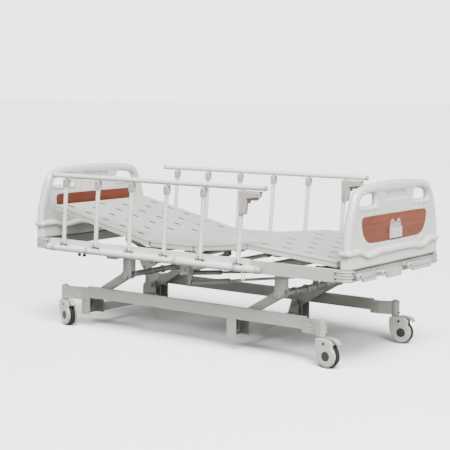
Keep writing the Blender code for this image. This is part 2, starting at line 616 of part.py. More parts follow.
def guard_lower(bed, side_name, side):
    """The lower guard rail: a round tube with the upright strip that the posts pivot on."""
    y = side * LOW_RAIL_Y
    tube = rod((LOW_RAIL_X[0], y, LOW_RAIL_Z), (LOW_RAIL_X[1], y, LOW_RAIL_Z), LOW_RAIL_RADIUS, 16)
    strip = block((LOW_RAIL_X[0] + 0.02, side * 0.4735, 0.478), (LOW_RAIL_X[1] - 0.06, side * 0.4865, 0.521))
    pads = [block((x - 0.02, side * (RAIL_OUT + GAP), 0.483), (x + 0.02, side * 0.475, 0.503))
            for x in (-0.70, -0.20, 0.30)]
    cuts = [rod((x, side * 0.4745, POST_FOOT), (x, side * 0.50, POST_FOOT), 0.0050, 10) for x in POST_X]
    bed.piece(f"{side_name}_guard_lower_rail", "aluminium", [tube, strip, *pads], cuts)


def guard_trigger(bed, side_name, side):
    """The sprung release trigger under the latch housing."""
    y = side * GUARD_Y
    high = Vector((POST_X[5] + POST_LEAN, y, POST_HEAD))
    outline = [(0.066, -0.016), (0.066, -0.029), (0.088, -0.031), (0.092, -0.062), (0.100, -0.062),
               (0.106, -0.028), (0.106, -0.010)]
    lever = prism([(high.x + x, high.z + z) for x, z in outline], "y", y - 0.006, y + 0.006)
    bed.piece(f"{side_name}_guard_trigger", "trigger_red", [lever],
              pivot=high + Vector((0.104, 0, -0.014)))


# ------------------------------------------------------------------ assembly
def build():
    clear_scene()
    bed = Bed()
    base_frame(bed)
    for corner in CASTOR_TURN:
        castor(bed, corner)
    for end in ("head", "foot"):
        lift_arm(bed, end)
        hanger(bed, f"{end}_hanger", end)
        end_beam(bed, f"{end}_beam", end)
        board(bed, f"{end}_board", end)
    hi_lo_link(bed)
    side_rail(bed, "near_side_rail", -1)
    side_rail(bed, "far_side_rail", 1)
    deck(bed)
    deck_lift(bed, "back_lift", BACK_LIFT)
    deck_lift(bed, "knee_lift", KNEE_LIFT)

    drives = {
        "back": (BACK_LIFT["pivot"], BACK_LIFT, 0.004, 0.0130, 0.270),
        "knee": (KNEE_LIFT["pivot"], KNEE_LIFT, 0.000, 0.0115, 0.270),
        "height": (LOWER_PIVOT["foot"] + ARM_VECTOR, HEIGHT_LEVER, -0.0075, 0.0165, 0.250),
    }
    for name, (pivot, lever, slot_shift, slot_half, tube_length) in drives.items():
        push_tube(bed, name, pivot, lever, slot_shift, slot_half, tube_length)
        screw(bed, name, pivot, lever, tube_length)
        crank(bed, name)

    for side_name, side in (("near", -1), ("far", 1)):
        guard_top(bed, side_name, side)
        guard_lower(bed, side_name, side)
        for index in range(len(POST_X)):
            guard_post(bed, side_name, side, index)
        guard_trigger(bed, side_name, side)


build()
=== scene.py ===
"""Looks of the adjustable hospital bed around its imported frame.

All sizes are metres, and mm() takes outlines drawn in millimetres. Shapes are drawn in
the bed frame, whose zero is the middle of the upper frame at floor level, and SHIFT moves them to
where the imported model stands.
"""
import math

import bmesh
import bpy
import numpy as np
from mathutils import Matrix, Vector
from mathutils.geometry import delaunay_2d_cdt


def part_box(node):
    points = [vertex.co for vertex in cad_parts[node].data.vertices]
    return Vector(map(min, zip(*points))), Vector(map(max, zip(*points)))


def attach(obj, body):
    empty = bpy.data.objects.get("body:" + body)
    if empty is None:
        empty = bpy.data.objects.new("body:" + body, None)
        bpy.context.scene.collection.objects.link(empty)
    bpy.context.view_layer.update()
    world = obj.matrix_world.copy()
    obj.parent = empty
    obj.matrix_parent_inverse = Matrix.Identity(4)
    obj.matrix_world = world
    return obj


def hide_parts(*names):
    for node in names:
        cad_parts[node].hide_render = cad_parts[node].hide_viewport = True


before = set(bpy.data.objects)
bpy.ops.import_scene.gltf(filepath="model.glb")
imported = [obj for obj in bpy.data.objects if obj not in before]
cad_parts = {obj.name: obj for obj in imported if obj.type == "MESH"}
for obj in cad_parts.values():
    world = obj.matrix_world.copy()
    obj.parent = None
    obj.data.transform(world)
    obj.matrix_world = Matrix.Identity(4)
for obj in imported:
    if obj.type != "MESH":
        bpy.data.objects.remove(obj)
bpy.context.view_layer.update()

BOARD_FACE = 1.071
SHIFT = Matrix.Translation((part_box("foot_board")[1][0] - BOARD_FACE, 0.0, 0.0))
SIDES = {"near": -1, "far": 1}
ENDS = {"foot": 1, "head": -1}
SKY_STRENGTH, SUN_STRENGTH = 3.4, 12.0
GUARD_Y, TOP_RAIL_Z = 0.5, 0.8895
LOWER_RAIL_Y, LOWER_RAIL_Z = 0.4925, 0.471


def mm(*pairs):
    """Pairs given in millimetres, as metres."""
    return [(a / 1000, b / 1000) for a, b in pairs]


# ------------------------------------------------------------------ finishes
def node_maker(name):
    finish = bpy.data.materials.new(name)
    finish.use_nodes = True
    tree = finish.node_tree
    shader = tree.nodes["Principled BSDF"]

    def add(kind, **values):
        node = tree.nodes.new(kind)
        for key, value in values.items():
            if hasattr(node, key):
                setattr(node, key, value)
            else:
                node.inputs[key.replace("_", " ")].default_value = value
        return node

    return finish, tree, shader, add


def place_on(tree, add, texture, scale):
    where = add("ShaderNodeTexCoord")
    mapping = add("ShaderNodeMapping")
    mapping.inputs["Scale"].default_value = scale
    tree.links.new(where.outputs["Object"], mapping.inputs["Vector"])
    tree.links.new(mapping.outputs["Vector"], texture.inputs["Vector"])


def ramp(make, stops):
    """A colour ramp node with the given (position, colour) stops."""
    node = make("ShaderNodeValToRGB")
    elements = node.color_ramp.elements
    while len(elements) < len(stops):
        elements.new(0.5)
    for element, (position, colour) in zip(elements, stops):
        element.position = position
        element.color = (*colour, 1.0)
    return node


def surface(name, colour, roughness, grain=260.0, grain_height=0.00015, drift=0.06, metallic=0.0,
            coat=0.0, stretch=(1.0, 1.0, 1.0), rough_drift=0.08, dust=0.0, shine=0.5):
    """A painted, moulded or metal surface with grain, slow colour drift and uneven gloss."""
    finish, tree, shader, add = node_maker(name)
    link = tree.links.new
    shader.inputs["Metallic"].default_value = metallic
    shader.inputs["Specular IOR Level"].default_value = shine
    shader.inputs["Coat Weight"].default_value = coat
    shader.inputs["Coat Roughness"].default_value = 0.2

    slow = add("ShaderNodeTexNoise", Scale=3.2, Detail=4.0, Roughness=0.6)
    place_on(tree, add, slow, stretch)
    tint = ramp(add, [(place, [min(1.0, value * factor) for value in colour])
                      for place, factor in ((0.3, 1.0 - drift), (0.72, 1.0 + drift * 0.4))])
    link(slow.outputs["Fac"], tint.inputs["Fac"])
    out = tint.outputs["Color"]
    if dust:
        specks = add("ShaderNodeTexNoise", Scale=42.0, Detail=6.0, Roughness=0.7)
        place_on(tree, add, specks, stretch)
        cover = add("ShaderNodeMapRange", From_Min=0.52, From_Max=0.78, To_Min=0.0, To_Max=dust)
        link(specks.outputs["Fac"], cover.inputs["Value"])
        mix = add("ShaderNodeMixRGB", blend_type="MULTIPLY")
        link(cover.outputs["Result"], mix.inputs["Fac"])
        link(out, mix.inputs["Color1"])
        mix.inputs["Color2"].default_value = (0.55, 0.53, 0.48, 1.0)
        out = mix.outputs["Color"]
    link(out, shader.inputs["Base Color"])

    gloss = add("ShaderNodeTexNoise", Scale=14.0, Detail=5.0, Roughness=0.65)
    place_on(tree, add, gloss, stretch)
    spread = add("ShaderNodeMapRange", From_Min=0.3, From_Max=0.7,
                 To_Min=max(0.05, roughness - rough_drift), To_Max=min(1.0, roughness + rough_drift))
    link(gloss.outputs["Fac"], spread.inputs["Value"])
    link(spread.outputs["Result"], shader.inputs["Roughness"])

    fine = add("ShaderNodeTexNoise", Scale=grain, Detail=3.0, Roughness=0.55)
    place_on(tree, add, fine, stretch)
    bump = add("ShaderNodeBump", Strength=0.6, Distance=grain_height)
    link(fine.outputs["Fac"], bump.inputs["Height"])
    link(bump.outputs["Normal"], shader.inputs["Normal"])
    return finish


def wood(name, dark, light):
    """Printed wood-grain laminate: long streaks across the bed with fine pores."""
    finish, tree, shader, add = node_maker(name)
    link = tree.links.new
    bend = add("ShaderNodeTexNoise", Scale=2.4, Detail=3.0, Roughness=0.5)
    place_on(tree, add, bend, (1.0, 0.8, 3.0))
    rings = add("ShaderNodeTexNoise", Scale=9.0, Detail=8.0, Roughness=0.62, Distortion=0.4)
    place_on(tree, add, rings, (1.0, 0.55, 6.5))
    pores = add("ShaderNodeTexNoise", Scale=70.0, Detail=5.0, Roughness=0.7)
    place_on(tree, add, pores, (1.0, 0.22, 5.0))
    sums = add("ShaderNodeMath", operation="MULTIPLY_ADD")
    link(bend.outputs["Fac"], sums.inputs[0])
    sums.inputs[1].default_value = 0.35
    link(rings.outputs["Fac"], sums.inputs[2])
    more = add("ShaderNodeMath", operation="MULTIPLY_ADD")
    link(pores.outputs["Fac"], more.inputs[0])
    more.inputs[1].default_value = 0.22
    link(sums.outputs[0], more.inputs[2])
    shades = ramp(add, [(0.52, dark), (0.98, light)])
    link(more.outputs[0], shades.inputs["Fac"])
    link(shades.outputs["Color"], shader.inputs["Base Color"])
    shader.inputs["Roughness"].default_value = 0.5
    shader.inputs["Specular IOR Level"].default_value = 0.22
    bump = add("ShaderNodeBump", Strength=0.35, Distance=0.0002)
    link(pores.outputs["Fac"], bump.inputs["Height"])
    link(bump.outputs["Normal"], shader.inputs["Normal"])
    return finish


def card_sheet(name):
    """Clear card pocket with a blank card that shows through it."""
    finish, tree, shader, add = node_maker(name)
    shades = add("ShaderNodeTexNoise", Scale=16.0, Detail=3.0)
    place_on(tree, add, shades, (1.0, 1.0, 1.0))
    tint = ramp(add, [(0.35, (0.36, 0.355, 0.375)), (0.7, (0.45, 0.445, 0.465))])
    tree.links.new(shades.outputs["Fac"], tint.inputs["Fac"])
    tree.links.new(tint.outputs["Color"], shader.inputs["Base Color"])
    shader.inputs["Roughness"].default_value = 0.18
    shader.inputs["Coat Weight"].default_value = 0.4
    return finish


COAT = surface("powder_coat", (0.32, 0.319, 0.291), 0.4, grain=420, grain_height=0.0001, dust=0.12)
DECK_COAT = surface("deck_coat", (0.36, 0.358, 0.334), 0.36, grain=380, grain_height=0.00012, dust=0.22)
BASE_COAT = surface("base_coat", (0.27, 0.268, 0.241), 0.44, grain=420, grain_height=0.0001, dust=0.16)
BOARD = surface("moulded_board", (0.48, 0.481, 0.455), 0.28, grain=650, grain_height=0.00002, coat=0.4,
                drift=0.02, rough_drift=0.03)
# The lower panels' plastic is the board plastic made lighter: painted light.
LIT_PANEL = surface("moulded_panel_painted_light", (0.56, 0.561, 0.53), 0.36, grain=650, grain_height=0.00008, drift=0.04)
CASTOR = surface("castor_plastic", (0.333, 0.333, 0.307), 0.36, grain=500, grain_height=0.00008, coat=0.1,
                 dust=0.1)
HUB = surface("hub_plastic", (0.016, 0.017, 0.015), 0.55, grain=500, grain_height=0.0001, shine=0.25)
TYRE = surface("tyre_rubber", (0.008, 0.008, 0.0075), 0.7, grain=300, grain_height=0.0003, shine=0.2,
               dust=0.2)
DARK = surface("dark_rubber", (0.012, 0.012, 0.011), 0.6, grain=320, grain_height=0.0002, shine=0.25)
STEEL = surface("drawn_steel", (0.46, 0.46, 0.44), 0.3, grain=180, grain_height=0.0001, metallic=1.0,
                stretch=(0.15, 1.0, 1.0), rough_drift=0.12)
ZINC = surface("zinc_steel", (0.52, 0.52, 0.49), 0.34, grain=240, grain_height=0.0001, metallic=0.9)
NUT = surface("dull_steel", (0.2, 0.2, 0.185), 0.45, grain=240, grain_height=0.0001, metallic=0.4)
# A dark grey coat for the push tubes and screws, also used on the board seats as painted shade.
DARK_COAT_AND_SHADE = surface("dark_coat_and_seat_shade", (0.105, 0.104, 0.094), 0.42, grain=420, grain_height=0.0001, dust=0.15)
SCREW = surface("screw_steel", (0.05, 0.05, 0.045), 0.4, grain=260, grain_height=0.0001, metallic=0.6)
ALU = surface("guard_aluminium", (0.56, 0.56, 0.53), 0.42, grain=300, grain_height=0.00004, drift=0.03,
              stretch=(0.3, 1.0, 1.0))
FITTING = surface("guard_fitting", (0.294, 0.285, 0.253), 0.42, grain=520, grain_height=0.0001)
TRIGGER = surface("trigger_plastic", (0.102, 0.005, 0.009), 0.3, grain=500, grain_height=0.00006, coat=0.3)
# Near-black: painted shade inside the deck's slots.
SHADE = surface("slot_shade", (0.02, 0.02, 0.018), 0.8, grain=300, grain_height=0.0002, shine=0.1)
FOOT_WOOD = wood("foot_wood", (0.076, 0.011, 0.0014), (0.155, 0.0295, 0.0046))
# The head board's laminate is the foot board's made darker: painted shade.
SHADED_HEAD_WOOD = wood("head_wood_painted_shade", (0.066, 0.0135, 0.0046), (0.135, 0.033, 0.0125))
CARD = card_sheet("card_pocket")
CLEAR = surface("clear_pocket", (0.33, 0.215, 0.195), 0.28, grain=300, grain_height=0.00004, coat=0.4)
SLOTS = {
    "grey_coat": (COAT, DECK_COAT, BASE_COAT, SHADE, DARK_COAT_AND_SHADE),
    "board_white": (BOARD, LIT_PANEL, FOOT_WOOD, SHADED_HEAD_WOOD, CARD, CLEAR),
    "castor_grey": (CASTOR, HUB, DARK, FITTING), "tyre_black": (TYRE,), "trigger_red": (TRIGGER,),
    "steel": (STEEL, ZINC, NUT, SCREW),
}
SLOT_OF = {finish.name: slot for slot, finishes in SLOTS.items() for finish in finishes}


# ------------------------------------------------------------------ mesh helpers
def piece(name, bm, finish, body, smooth=35, bevel=0.0, segments=2, place=None, instead_of=(), slot=None):
    """Turns a bmesh in the bed frame into a finished piece that rides on a CAD body."""
    bmesh.ops.recalc_face_normals(bm, faces=bm.faces)
    mesh = bpy.data.meshes.new(name)
    bm.to_mesh(mesh)
    bm.free()
    if place is not None:
        mesh.transform(place)
    mesh.transform(SHIFT)
    mesh.materials.append(finish)
    item = bpy.data.objects.new(name, mesh)
    bpy.context.scene.collection.objects.link(item)
    mesh.shade_smooth()
    if bevel:
        round_off = item.modifiers.new("round_off", "BEVEL")
        round_off.width = bevel
        round_off.segments = segments
        round_off.limit_method = "ANGLE"
        round_off.angle_limit = math.radians(40)
        round_off.harden_normals = False
        depsgraph = bpy.context.evaluated_depsgraph_get()
        mesh = bpy.data.meshes.new_from_object(item.evaluated_get(depsgraph))
        item.modifiers.clear()
        item.data = mesh
    mesh.set_sharp_from_angle(angle=math.radians(smooth))
    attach(item, body)
    if instead_of:
        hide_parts(*instead_of)
    slot = slot or SLOT_OF[finish.name]
    return item


def joined(*parts):
    """One bmesh from several."""
    whole = bmesh.new()
    for part in parts:
        mesh = bpy.data.meshes.new("part")
        part.to_mesh(mesh)
        part.free()
        whole.from_mesh(mesh)
        bpy.data.meshes.remove(mesh)
    return whole


def block(low, high):
    low, high = Vector(low), Vector(high)
    bm = bmesh.new()
    bmesh.ops.create_cube(bm, size=1.0)
    bmesh.ops.scale(bm, vec=[abs(value) for value in high - low], verts=bm.verts)
    bmesh.ops.translate(bm, vec=(low + high) / 2, verts=bm.verts)
    return bm


def prism(outline, axis, low, high):
    place = {
        "x": lambda u, v, w: (w, u, v),
        "y": lambda u, v, w: (u, w, v),
        "z": lambda u, v, w: (u, v, w),
    }[axis]
    bm = bmesh.new()
    face = bm.faces.new([bm.verts.new(place(u, v, low)) for u, v in outline])
    moved = bmesh.ops.extrude_face_region(bm, geom=[face])["geom"]
    bmesh.ops.translate(bm, vec=Vector(place(0.0, 0.0, high - low)),
                        verts=[v for v in moved if isinstance(v, bmesh.types.BMVert)])
    return bm


def lathe(profile, start, direction, steps=32):
    """A closed (radius, height) profile turned about the line from start along direction."""
    turn = Vector(direction).to_track_quat("Z", "Y").to_matrix().to_4x4()
    bm = bmesh.new()
    rings = []
    for index in range(steps):
        angle = 2 * math.pi * index / steps
        rings.append([(r, r * math.cos(angle), r * math.sin(angle), h) for r, h in profile])
    made = []
    poles = {}
    for ring in rings:
        row = []
        for level, (r, x, y, h) in enumerate(ring):
            if r < 1e-6:
                if level not in poles:
                    poles[level] = bm.verts.new((0.0, 0.0, h))
                row.append(poles[level])
            else:
                row.append(bm.verts.new((x, y, h)))
        made.append(row)
    count = len(profile)
    for index in range(steps):
        here, there = made[index], made[(index + 1) % steps]
        for level in range(count - 1):
            corners = [here[level], here[level + 1], there[level + 1], there[level]]
            unique = list(dict.fromkeys(corners))
            if len(unique) > 2:
                bm.faces.new(unique)
    bmesh.ops.transform(bm, matrix=Matrix.Translation(Vector(start)) @ turn, verts=bm.verts)
    return bm


def round_bar(start, end, radius, edge=0.001, steps=24):
    """A round bar with softened ends."""
    start, end = Vector(start), Vector(end)
    length = (end - start).length
    profile = [(0.0, 0.0), (radius - edge, 0.0), (radius, edge), (radius, length - edge),
               (radius - edge, length), (0.0, length)]
    return lathe(profile, start, end - start, steps)


def join_rings(bm, rings):
    """Faces between neighbouring rings of vertices."""
    size = len(rings[0])
    for here, there in zip(rings, rings[1:]):
        for step in range(size):
            following = (step + 1) % size
            bm.faces.new((here[step], here[following], there[following], there[step]))


def capped_tube(bm, rings):
    join_rings(bm, rings)
    bm.faces.new(rings[0])
    bm.faces.new(rings[-1])
    return bm


def sweep(points, section):
    """A section of (u, v) offsets carried along a path without twisting."""
    points = [Vector(point) for point in points]
    bm = bmesh.new()
    rings = []
    side = None
    for index, point in enumerate(points):
        heading = (points[min(index + 1, len(points) - 1)] - points[max(index - 1, 0)]).normalized()
        if side is None:
            side = heading.orthogonal().normalized()
        side = (side - heading * side.dot(heading)).normalized()
        other = heading.cross(side)
        rings.append([bm.verts.new(point + side * u + other * v) for u, v in section])
    return capped_tube(bm, rings)


def circle(radius, steps=12):
    return [(radius * math.cos(2 * math.pi * i / steps), radius * math.sin(2 * math.pi * i / steps))
            for i in range(steps)]


def arc(centre, radius, first, last, steps):
    points = []
    for index in range(steps + 1):
        angle = math.radians(first + (last - first) * index / steps)
        points.append((centre[0] + radius * math.cos(angle), centre[1] + radius * math.sin(angle)))
    return points


def spline(points, spacing=0.008, closed=False):
    """Points spaced evenly on a smooth curve through the given ones."""
    points = np.array(points, dtype=float)
    if closed:
        points = np.vstack([points[-1], points, points[0], points[1]])
    else:
        points = np.vstack([2 * points[0] - points[1], points, 2 * points[-1] - points[-2]])
    made = []
    for i in range(1, len(points) - 2):
        a, b, c, d = points[i - 1:i + 3]
        steps = max(1, int(round(np.linalg.norm(c - b) / spacing)))
        for k in range(steps):
            t = k / steps
            made.append(0.5 * ((2 * b) + (c - a) * t + (2 * a - 5 * b + 4 * c - d) * t * t
                               + (3 * b - a - 3 * c + d) * t ** 3))
    if not closed:
        made.append(points[-2])
    return np.array(made)


def smoothstep(low, high, value):
    t = np.clip((value - low) / (high - low), 0.0, 1.0)
    return t * t * (3 - 2 * t)


def line_distance(points, line, closed=True):
    """Distance from each point to a polyline."""
    ends = np.roll(line, -1, axis=0) if closed else line[1:]
    starts = line if closed else line[:-1]
    best = np.full(len(points), 1e9)
    for a, b in zip(starts, ends):
        ab = b - a
        t = np.clip(((points - a) @ ab) / max(ab @ ab, 1e-12), 0.0, 1.0)
        best = np.minimum(best, np.linalg.norm(points - (a + t[:, None] * ab), axis=1))
    return best


def inside(points, line):
    """True for each point inside a closed polyline."""
    x, y = points[:, 0], points[:, 1]
    hit = np.zeros(len(points), dtype=bool)
    for (x1, y1), (x2, y2) in zip(line, np.roll(line, -1, axis=0)):
        if y1 == y2:
            continue
        crosses = (y1 > y) != (y2 > y)
        hit ^= crosses & (x < (x2 - x1) * (y - y1) / (y2 - y1) + x1)
    return hit


def offset_line(line, distance, closed=True):
    """A polyline moved sideways, to the left of its heading."""
    if closed:
        heading = np.roll(line, -1, axis=0) - np.roll(line, 1, axis=0)
    else:
        heading = np.gradient(line, axis=0)
    heading /= np.maximum(np.linalg.norm(heading, axis=1), 1e-9)[:, None]
    return line + distance * np.stack([-heading[:, 1], heading[:, 0]], axis=1)


def flat_mesh(border, holes, extra_rings, extra_points):
    """Triangles that fill a border around holes, with vertices on the given rings and points."""
    points, edges = [], []

    def add_ring(ring, closed=True):
        first = len(points)
        points.extend(ring.tolist())
        count = len(ring)
        for index in range(count if closed else count - 1):
            edges.append((first + index, first + (index + 1) % count))

    add_ring(border)
    for hole in holes:
        add_ring(hole)
    for ring, closed in extra_rings:
        add_ring(ring, closed)
    points.extend(extra_points.tolist())
    verts, _, faces, *_ = delaunay_2d_cdt([Vector(p) for p in points], edges, [], 0, 1e-6)
    verts = np.array([[v.x, v.y] for v in verts])
    faces = np.array([face for face in faces if len(face) == 3])
    middle = verts[faces].mean(axis=1)
    keep = inside(middle, border)
    for hole in holes:
        keep &= ~inside(middle, hole)
    return verts, faces[keep]


def grid(low, high, step_u, step_v):
    """Points in staggered rows."""
    us = np.arange(low[0], high[0], step_u)
    vs = np.arange(low[1], high[1], step_v)
    made = []
    for row, v in enumerate(vs):
        shift = step_u / 2 if row % 2 else 0.0
        made.extend([(u + shift, v) for u in us])
    return np.array(made)


# ------------------------------------------------------------------ end boards
PANEL_MIDDLE = 1.043
PANEL_HALF = 0.0235
RIM = 0.024
FIELD_SINK, INSERT_SINK = 0.0048, 0.0022
HALF_OUTLINE = mm((472, 582), (471, 605), (468, 645), (462, 690), (451, 735), (438, 778), (421, 822),
                  (403, 861), (376, 890), (340, 907), (290, 915.5), (220, 921.5), (140, 925.5),
                  (70, 927.3), (0, 928))
HOLE = mm((199, 820), (208, 811), (236, 815), (260, 809), (284, 815), (304, 810), (320, 813), (344, 812),
          (354, 820), (348, 840), (332, 854), (300, 865), (250, 871), (215, 870), (201, 856))
PLATE = mm((-130, 833), (-122, 829), (122, 829), (130, 833), (126, 845), (108, 874), (98, 879),
           (-98, 879), (-108, 874), (-126, 845))
INSERT = mm((-250, 621), (250, 621), (290, 635), (322, 666), (339, 708), (342, 740), (334, 758),
            (308, 766), (-308, 766), (-334, 758), (-342, 740), (-339, 708), (-322, 666), (-290, 635))


def softened(corners, spacing):
    """A closed polyline with straight runs kept and its corners eased by cutting them twice."""
    line = np.array(corners, dtype=float)
    for _ in range(2):
        following = np.roll(line, -1, axis=0)
        cuts = [0.82 * line + 0.18 * following, 0.18 * line + 0.82 * following]
        line = np.stack(cuts, axis=1).reshape(-1, 2)
    made = []
    for a, b in zip(line, np.roll(line, -1, axis=0)):
        steps = max(1, int(np.linalg.norm(b - a) / spacing))
        made.extend([a + (b - a) * k / steps for k in range(steps)])
    return np.array(made)


def board_panel(end, out):
    """The moulded upper panel: rounded rim, sunk field, hand holes, plate recess and insert bed."""
    half = spline(HALF_OUTLINE, 0.009)
    rim_line = np.vstack([half, half[::-1][1:] * [-1, 1]])
    hole_line = spline(HOLE, 0.006, closed=True)
    holes = [hole_line, (hole_line * [-1, 1])[::-1]]
    plate_line = softened(PLATE, 2.2 * 0.003)
    insert_line = softened(INSERT, 2.2 * 0.004)
    rings = []
    for distance in (0.0008, 0.0028, 0.0064, 0.0115, 0.0175, 0.024, 0.034, 0.04, 0.046, 0.054):
        rings.append((offset_line(rim_line, distance, closed=False), False))
    for hole in holes:
        for distance in (0.0008, 0.0028, 0.0062, 0.0105, 0.016, 0.0225):
            rings.append((offset_line(hole, -distance), True))
    for line in (plate_line, insert_line):
        rings.append((line, True))
        rings.append((offset_line(line, 0.0035), True))
    rings.append((offset_line(plate_line, 0.0056), True))
    rings.append((offset_line(plate_line, -0.003), True))
    points = grid((-0.47, 0.585), (0.47, 0.925), 0.0125, 0.011)
    near = line_distance(points, rim_line, closed=False) < 0.004
    for hole in holes:
        near |= line_distance(points, hole) < 0.004
    for line in (plate_line, insert_line):
        near |= line_distance(points, line) < 0.0025
    points = points[~near & inside(points, rim_line)]
    verts, faces = flat_mesh(rim_line, holes, rings, points)

    lines = (rim_line, holes, plate_line, insert_line)
    height = relief(verts, lines)
    reach = 0.0006
    slopes = [(relief(verts + step, lines) - relief(verts - step, lines)) / (2 * reach)
              for step in (np.array([reach, 0.0]), np.array([0.0, reach]))]

    bm = bmesh.new()
    layer = bm.verts.layers.float_vector.new("relief_normal")
    sides = []
    for face in (1, -1):
        made = [bm.verts.new((out * (PANEL_MIDDLE + face * h), y, z)) for (y, z), h in zip(verts, height)]
        for vert, h, slope_y, slope_z in zip(made, height, *slopes):
            if h > 0.002:
                vert[layer] = Vector((face * out, -slope_y, -slope_z)).normalized()
        sides.append(made)
    outer, inner = sides
    for a, b, c in faces:
        bm.faces.new((outer[a], outer[b], outer[c]))
        bm.faces.new((inner[c], inner[b], inner[a]))
    bmesh.ops.remove_doubles(bm, verts=bm.verts, dist=0.00001)
    foot = HALF_OUTLINE[0][1] + 0.004
    base_edges = [edge for edge in bm.edges
                  if len(edge.link_faces) == 1 and max(vert.co.z for vert in edge.verts) < foot]
    bmesh.ops.holes_fill(bm, edges=base_edges, sides=0)
    panel = piece(f"{end}_board_panel", bm, BOARD, "upper_frame", smooth=55, instead_of=(f"{end}_board",))
    mesh = panel.data
    wanted = [Vector(item.vector) for item in mesh.attributes["relief_normal"].data]
    mesh.normals_split_custom_set_from_vertices(
        [normal if normal.length > 0.5 else vert.normal for normal, vert in zip(wanted, mesh.vertices)])
    return insert_line


def relief(points, lines):
    """Half thickness of the moulded panel at each point: rounded rim, sunk field, hole lips and recesses."""
    rim_line, holes, plate_line, insert_line = lines
    edge = line_distance(points, rim_line, closed=False)
    height = PANEL_HALF * np.sqrt(np.clip(1 - (1 - np.minimum(edge / RIM, 1)) ** 2, 0, 1))
    height -= FIELD_SINK * smoothstep(0.033, 0.054, edge)
    for hole in holes:
        gap = line_distance(points, hole)
        lip = np.sqrt(np.clip(1 - (1 - np.minimum(gap / 0.022, 1)) ** 2, 0, 1))
        below = smoothstep(0.0, 0.01, 0.816 - points[:, 1]) * (1 - smoothstep(0.012, 0.026, gap))
        height = (height + 0.006 * below) * lip
    for line, depth, slope in ((plate_line, 0.009, 0.0055), (insert_line, INSERT_SINK, 0.0034)):
        gap = line_distance(points, line) * np.where(inside(points, line), 1, -1)
        height -= depth * smoothstep(0.0, slope, gap)
    gap = line_distance(points, plate_line) * np.where(inside(points, plate_line), 1, -1)
    sill = smoothstep(0.0, 0.004, 0.832 - points[:, 1]) * (1 - smoothstep(0.003, 0.01, -gap))
    return height + 0.0024 * sill


def ridge_height(y):
    """Height of the moulded ridge along the board."""
    y = abs(y)
    dip = 0.577 - 0.012 * float(smoothstep(0.15, 0.275, y))
    return dip + 0.026 * float(smoothstep(0.285, 0.375, y))


def board_loop(half_x, half_y, radius):
    """A rounded rectangle round the board, as (x, y) pairs with evenly spaced long sides."""
    corners = [(half_x - radius, half_y - radius, 0), (-half_x + radius, half_y - radius, 90),
               (-half_x + radius, -half_y + radius, 180), (half_x - radius, -half_y + radius, 270)]
    loop = []
    for index, (x, y, first) in enumerate(corners):
        loop.extend(arc((x, y), radius, first, first + 90, 7))
        following = corners[(index + 1) % 4]
        start = np.array(loop[-1])
        stop = np.array(arc(following[:2], radius, following[2], following[2], 1)[0])
        count = 72 if index % 2 else 4
        loop.extend([tuple(start + (stop - start) * k / count) for k in range(1, count)])
    return loop


def skirt(out, levels, half_x, half_y, radius, height_of):
    """A closed band round the board: each level is (rise, outward offset)."""
    bm = bmesh.new()
    rings = []
    for rise, offset in levels:
        loop = board_loop(half_x + offset, half_y + offset, max(0.004, radius + offset))
        rings.append([bm.verts.new((out * (PANEL_MIDDLE - 0.002 + x), y, height_of(y, rise)))
                      for x, y in loop])
    return capped_tube(bm, rings)


def end_board(end, out):
    """One end board: panel, ridge, lower panel, the strip it stands on and its two wood inserts."""
    insert_line = board_panel(end, out)
    ridge = mm((-12.5, -8), (-12.2, -0.5), (-9.5, 4.2), (-4, 7), (3, 7), (8.5, 4.5), (13, 0.2), (17, -6),
               (21.5, -11), (25, -18))
    bm = skirt(out, ridge, 0.0315, 0.468, 0.014, lambda y, rise: ridge_height(y) + rise)
    piece(f"{end}_board_ridge", bm, BOARD, "upper_frame", smooth=60)

    foot = 0.5135
    low = [(0.0, -0.005), (0.0, -0.0015), (0.02, 0.0), (0.16, 0.0), (0.84, 0.0), (1.0, -0.0015)]
    bm = skirt(out, low, 0.0268, 0.459, 0.006,
               lambda y, rise: foot + rise * (ridge_height(y) - 0.0128 - foot) + (0.0012 if rise else 0.0))
    # The lower panel takes the lighter copy of the board plastic, which is painted light.
    piece(f"{end}_board_lower_panel", bm, LIT_PANEL, "upper_frame", smooth=60)

    # The strip the lower panel stands on is coloured dark grey as painted shade in the gap above the beam.
    seat = block((out * 1.033, -0.437, 0.5012), (out * 1.056, 0.437, 0.515))
    piece(f"{end}_board_seat", seat, DARK_COAT_AND_SHADE, "upper_frame", bevel=0.001, segments=1)
    # The head end takes the darker laminate, which is painted shade.
    finish = FOOT_WOOD if end == "foot" else SHADED_HEAD_WOOD
    field = PANEL_HALF - FIELD_SINK - INSERT_SINK
    insert = offset_line(insert_line, 0.0036)
    for face, sign in (("outer", 1), ("inner", -1)):
        near = out * (PANEL_MIDDLE + sign * (field - 0.0008))
        far = out * (PANEL_MIDDLE + sign * (field + 0.0012))
        bm = prism([tuple(point) for point in insert], "x", near, far)
        piece(f"{end}_board_{face}_insert", bm, finish, "upper_frame", smooth=40, bevel=0.0006, segments=1)


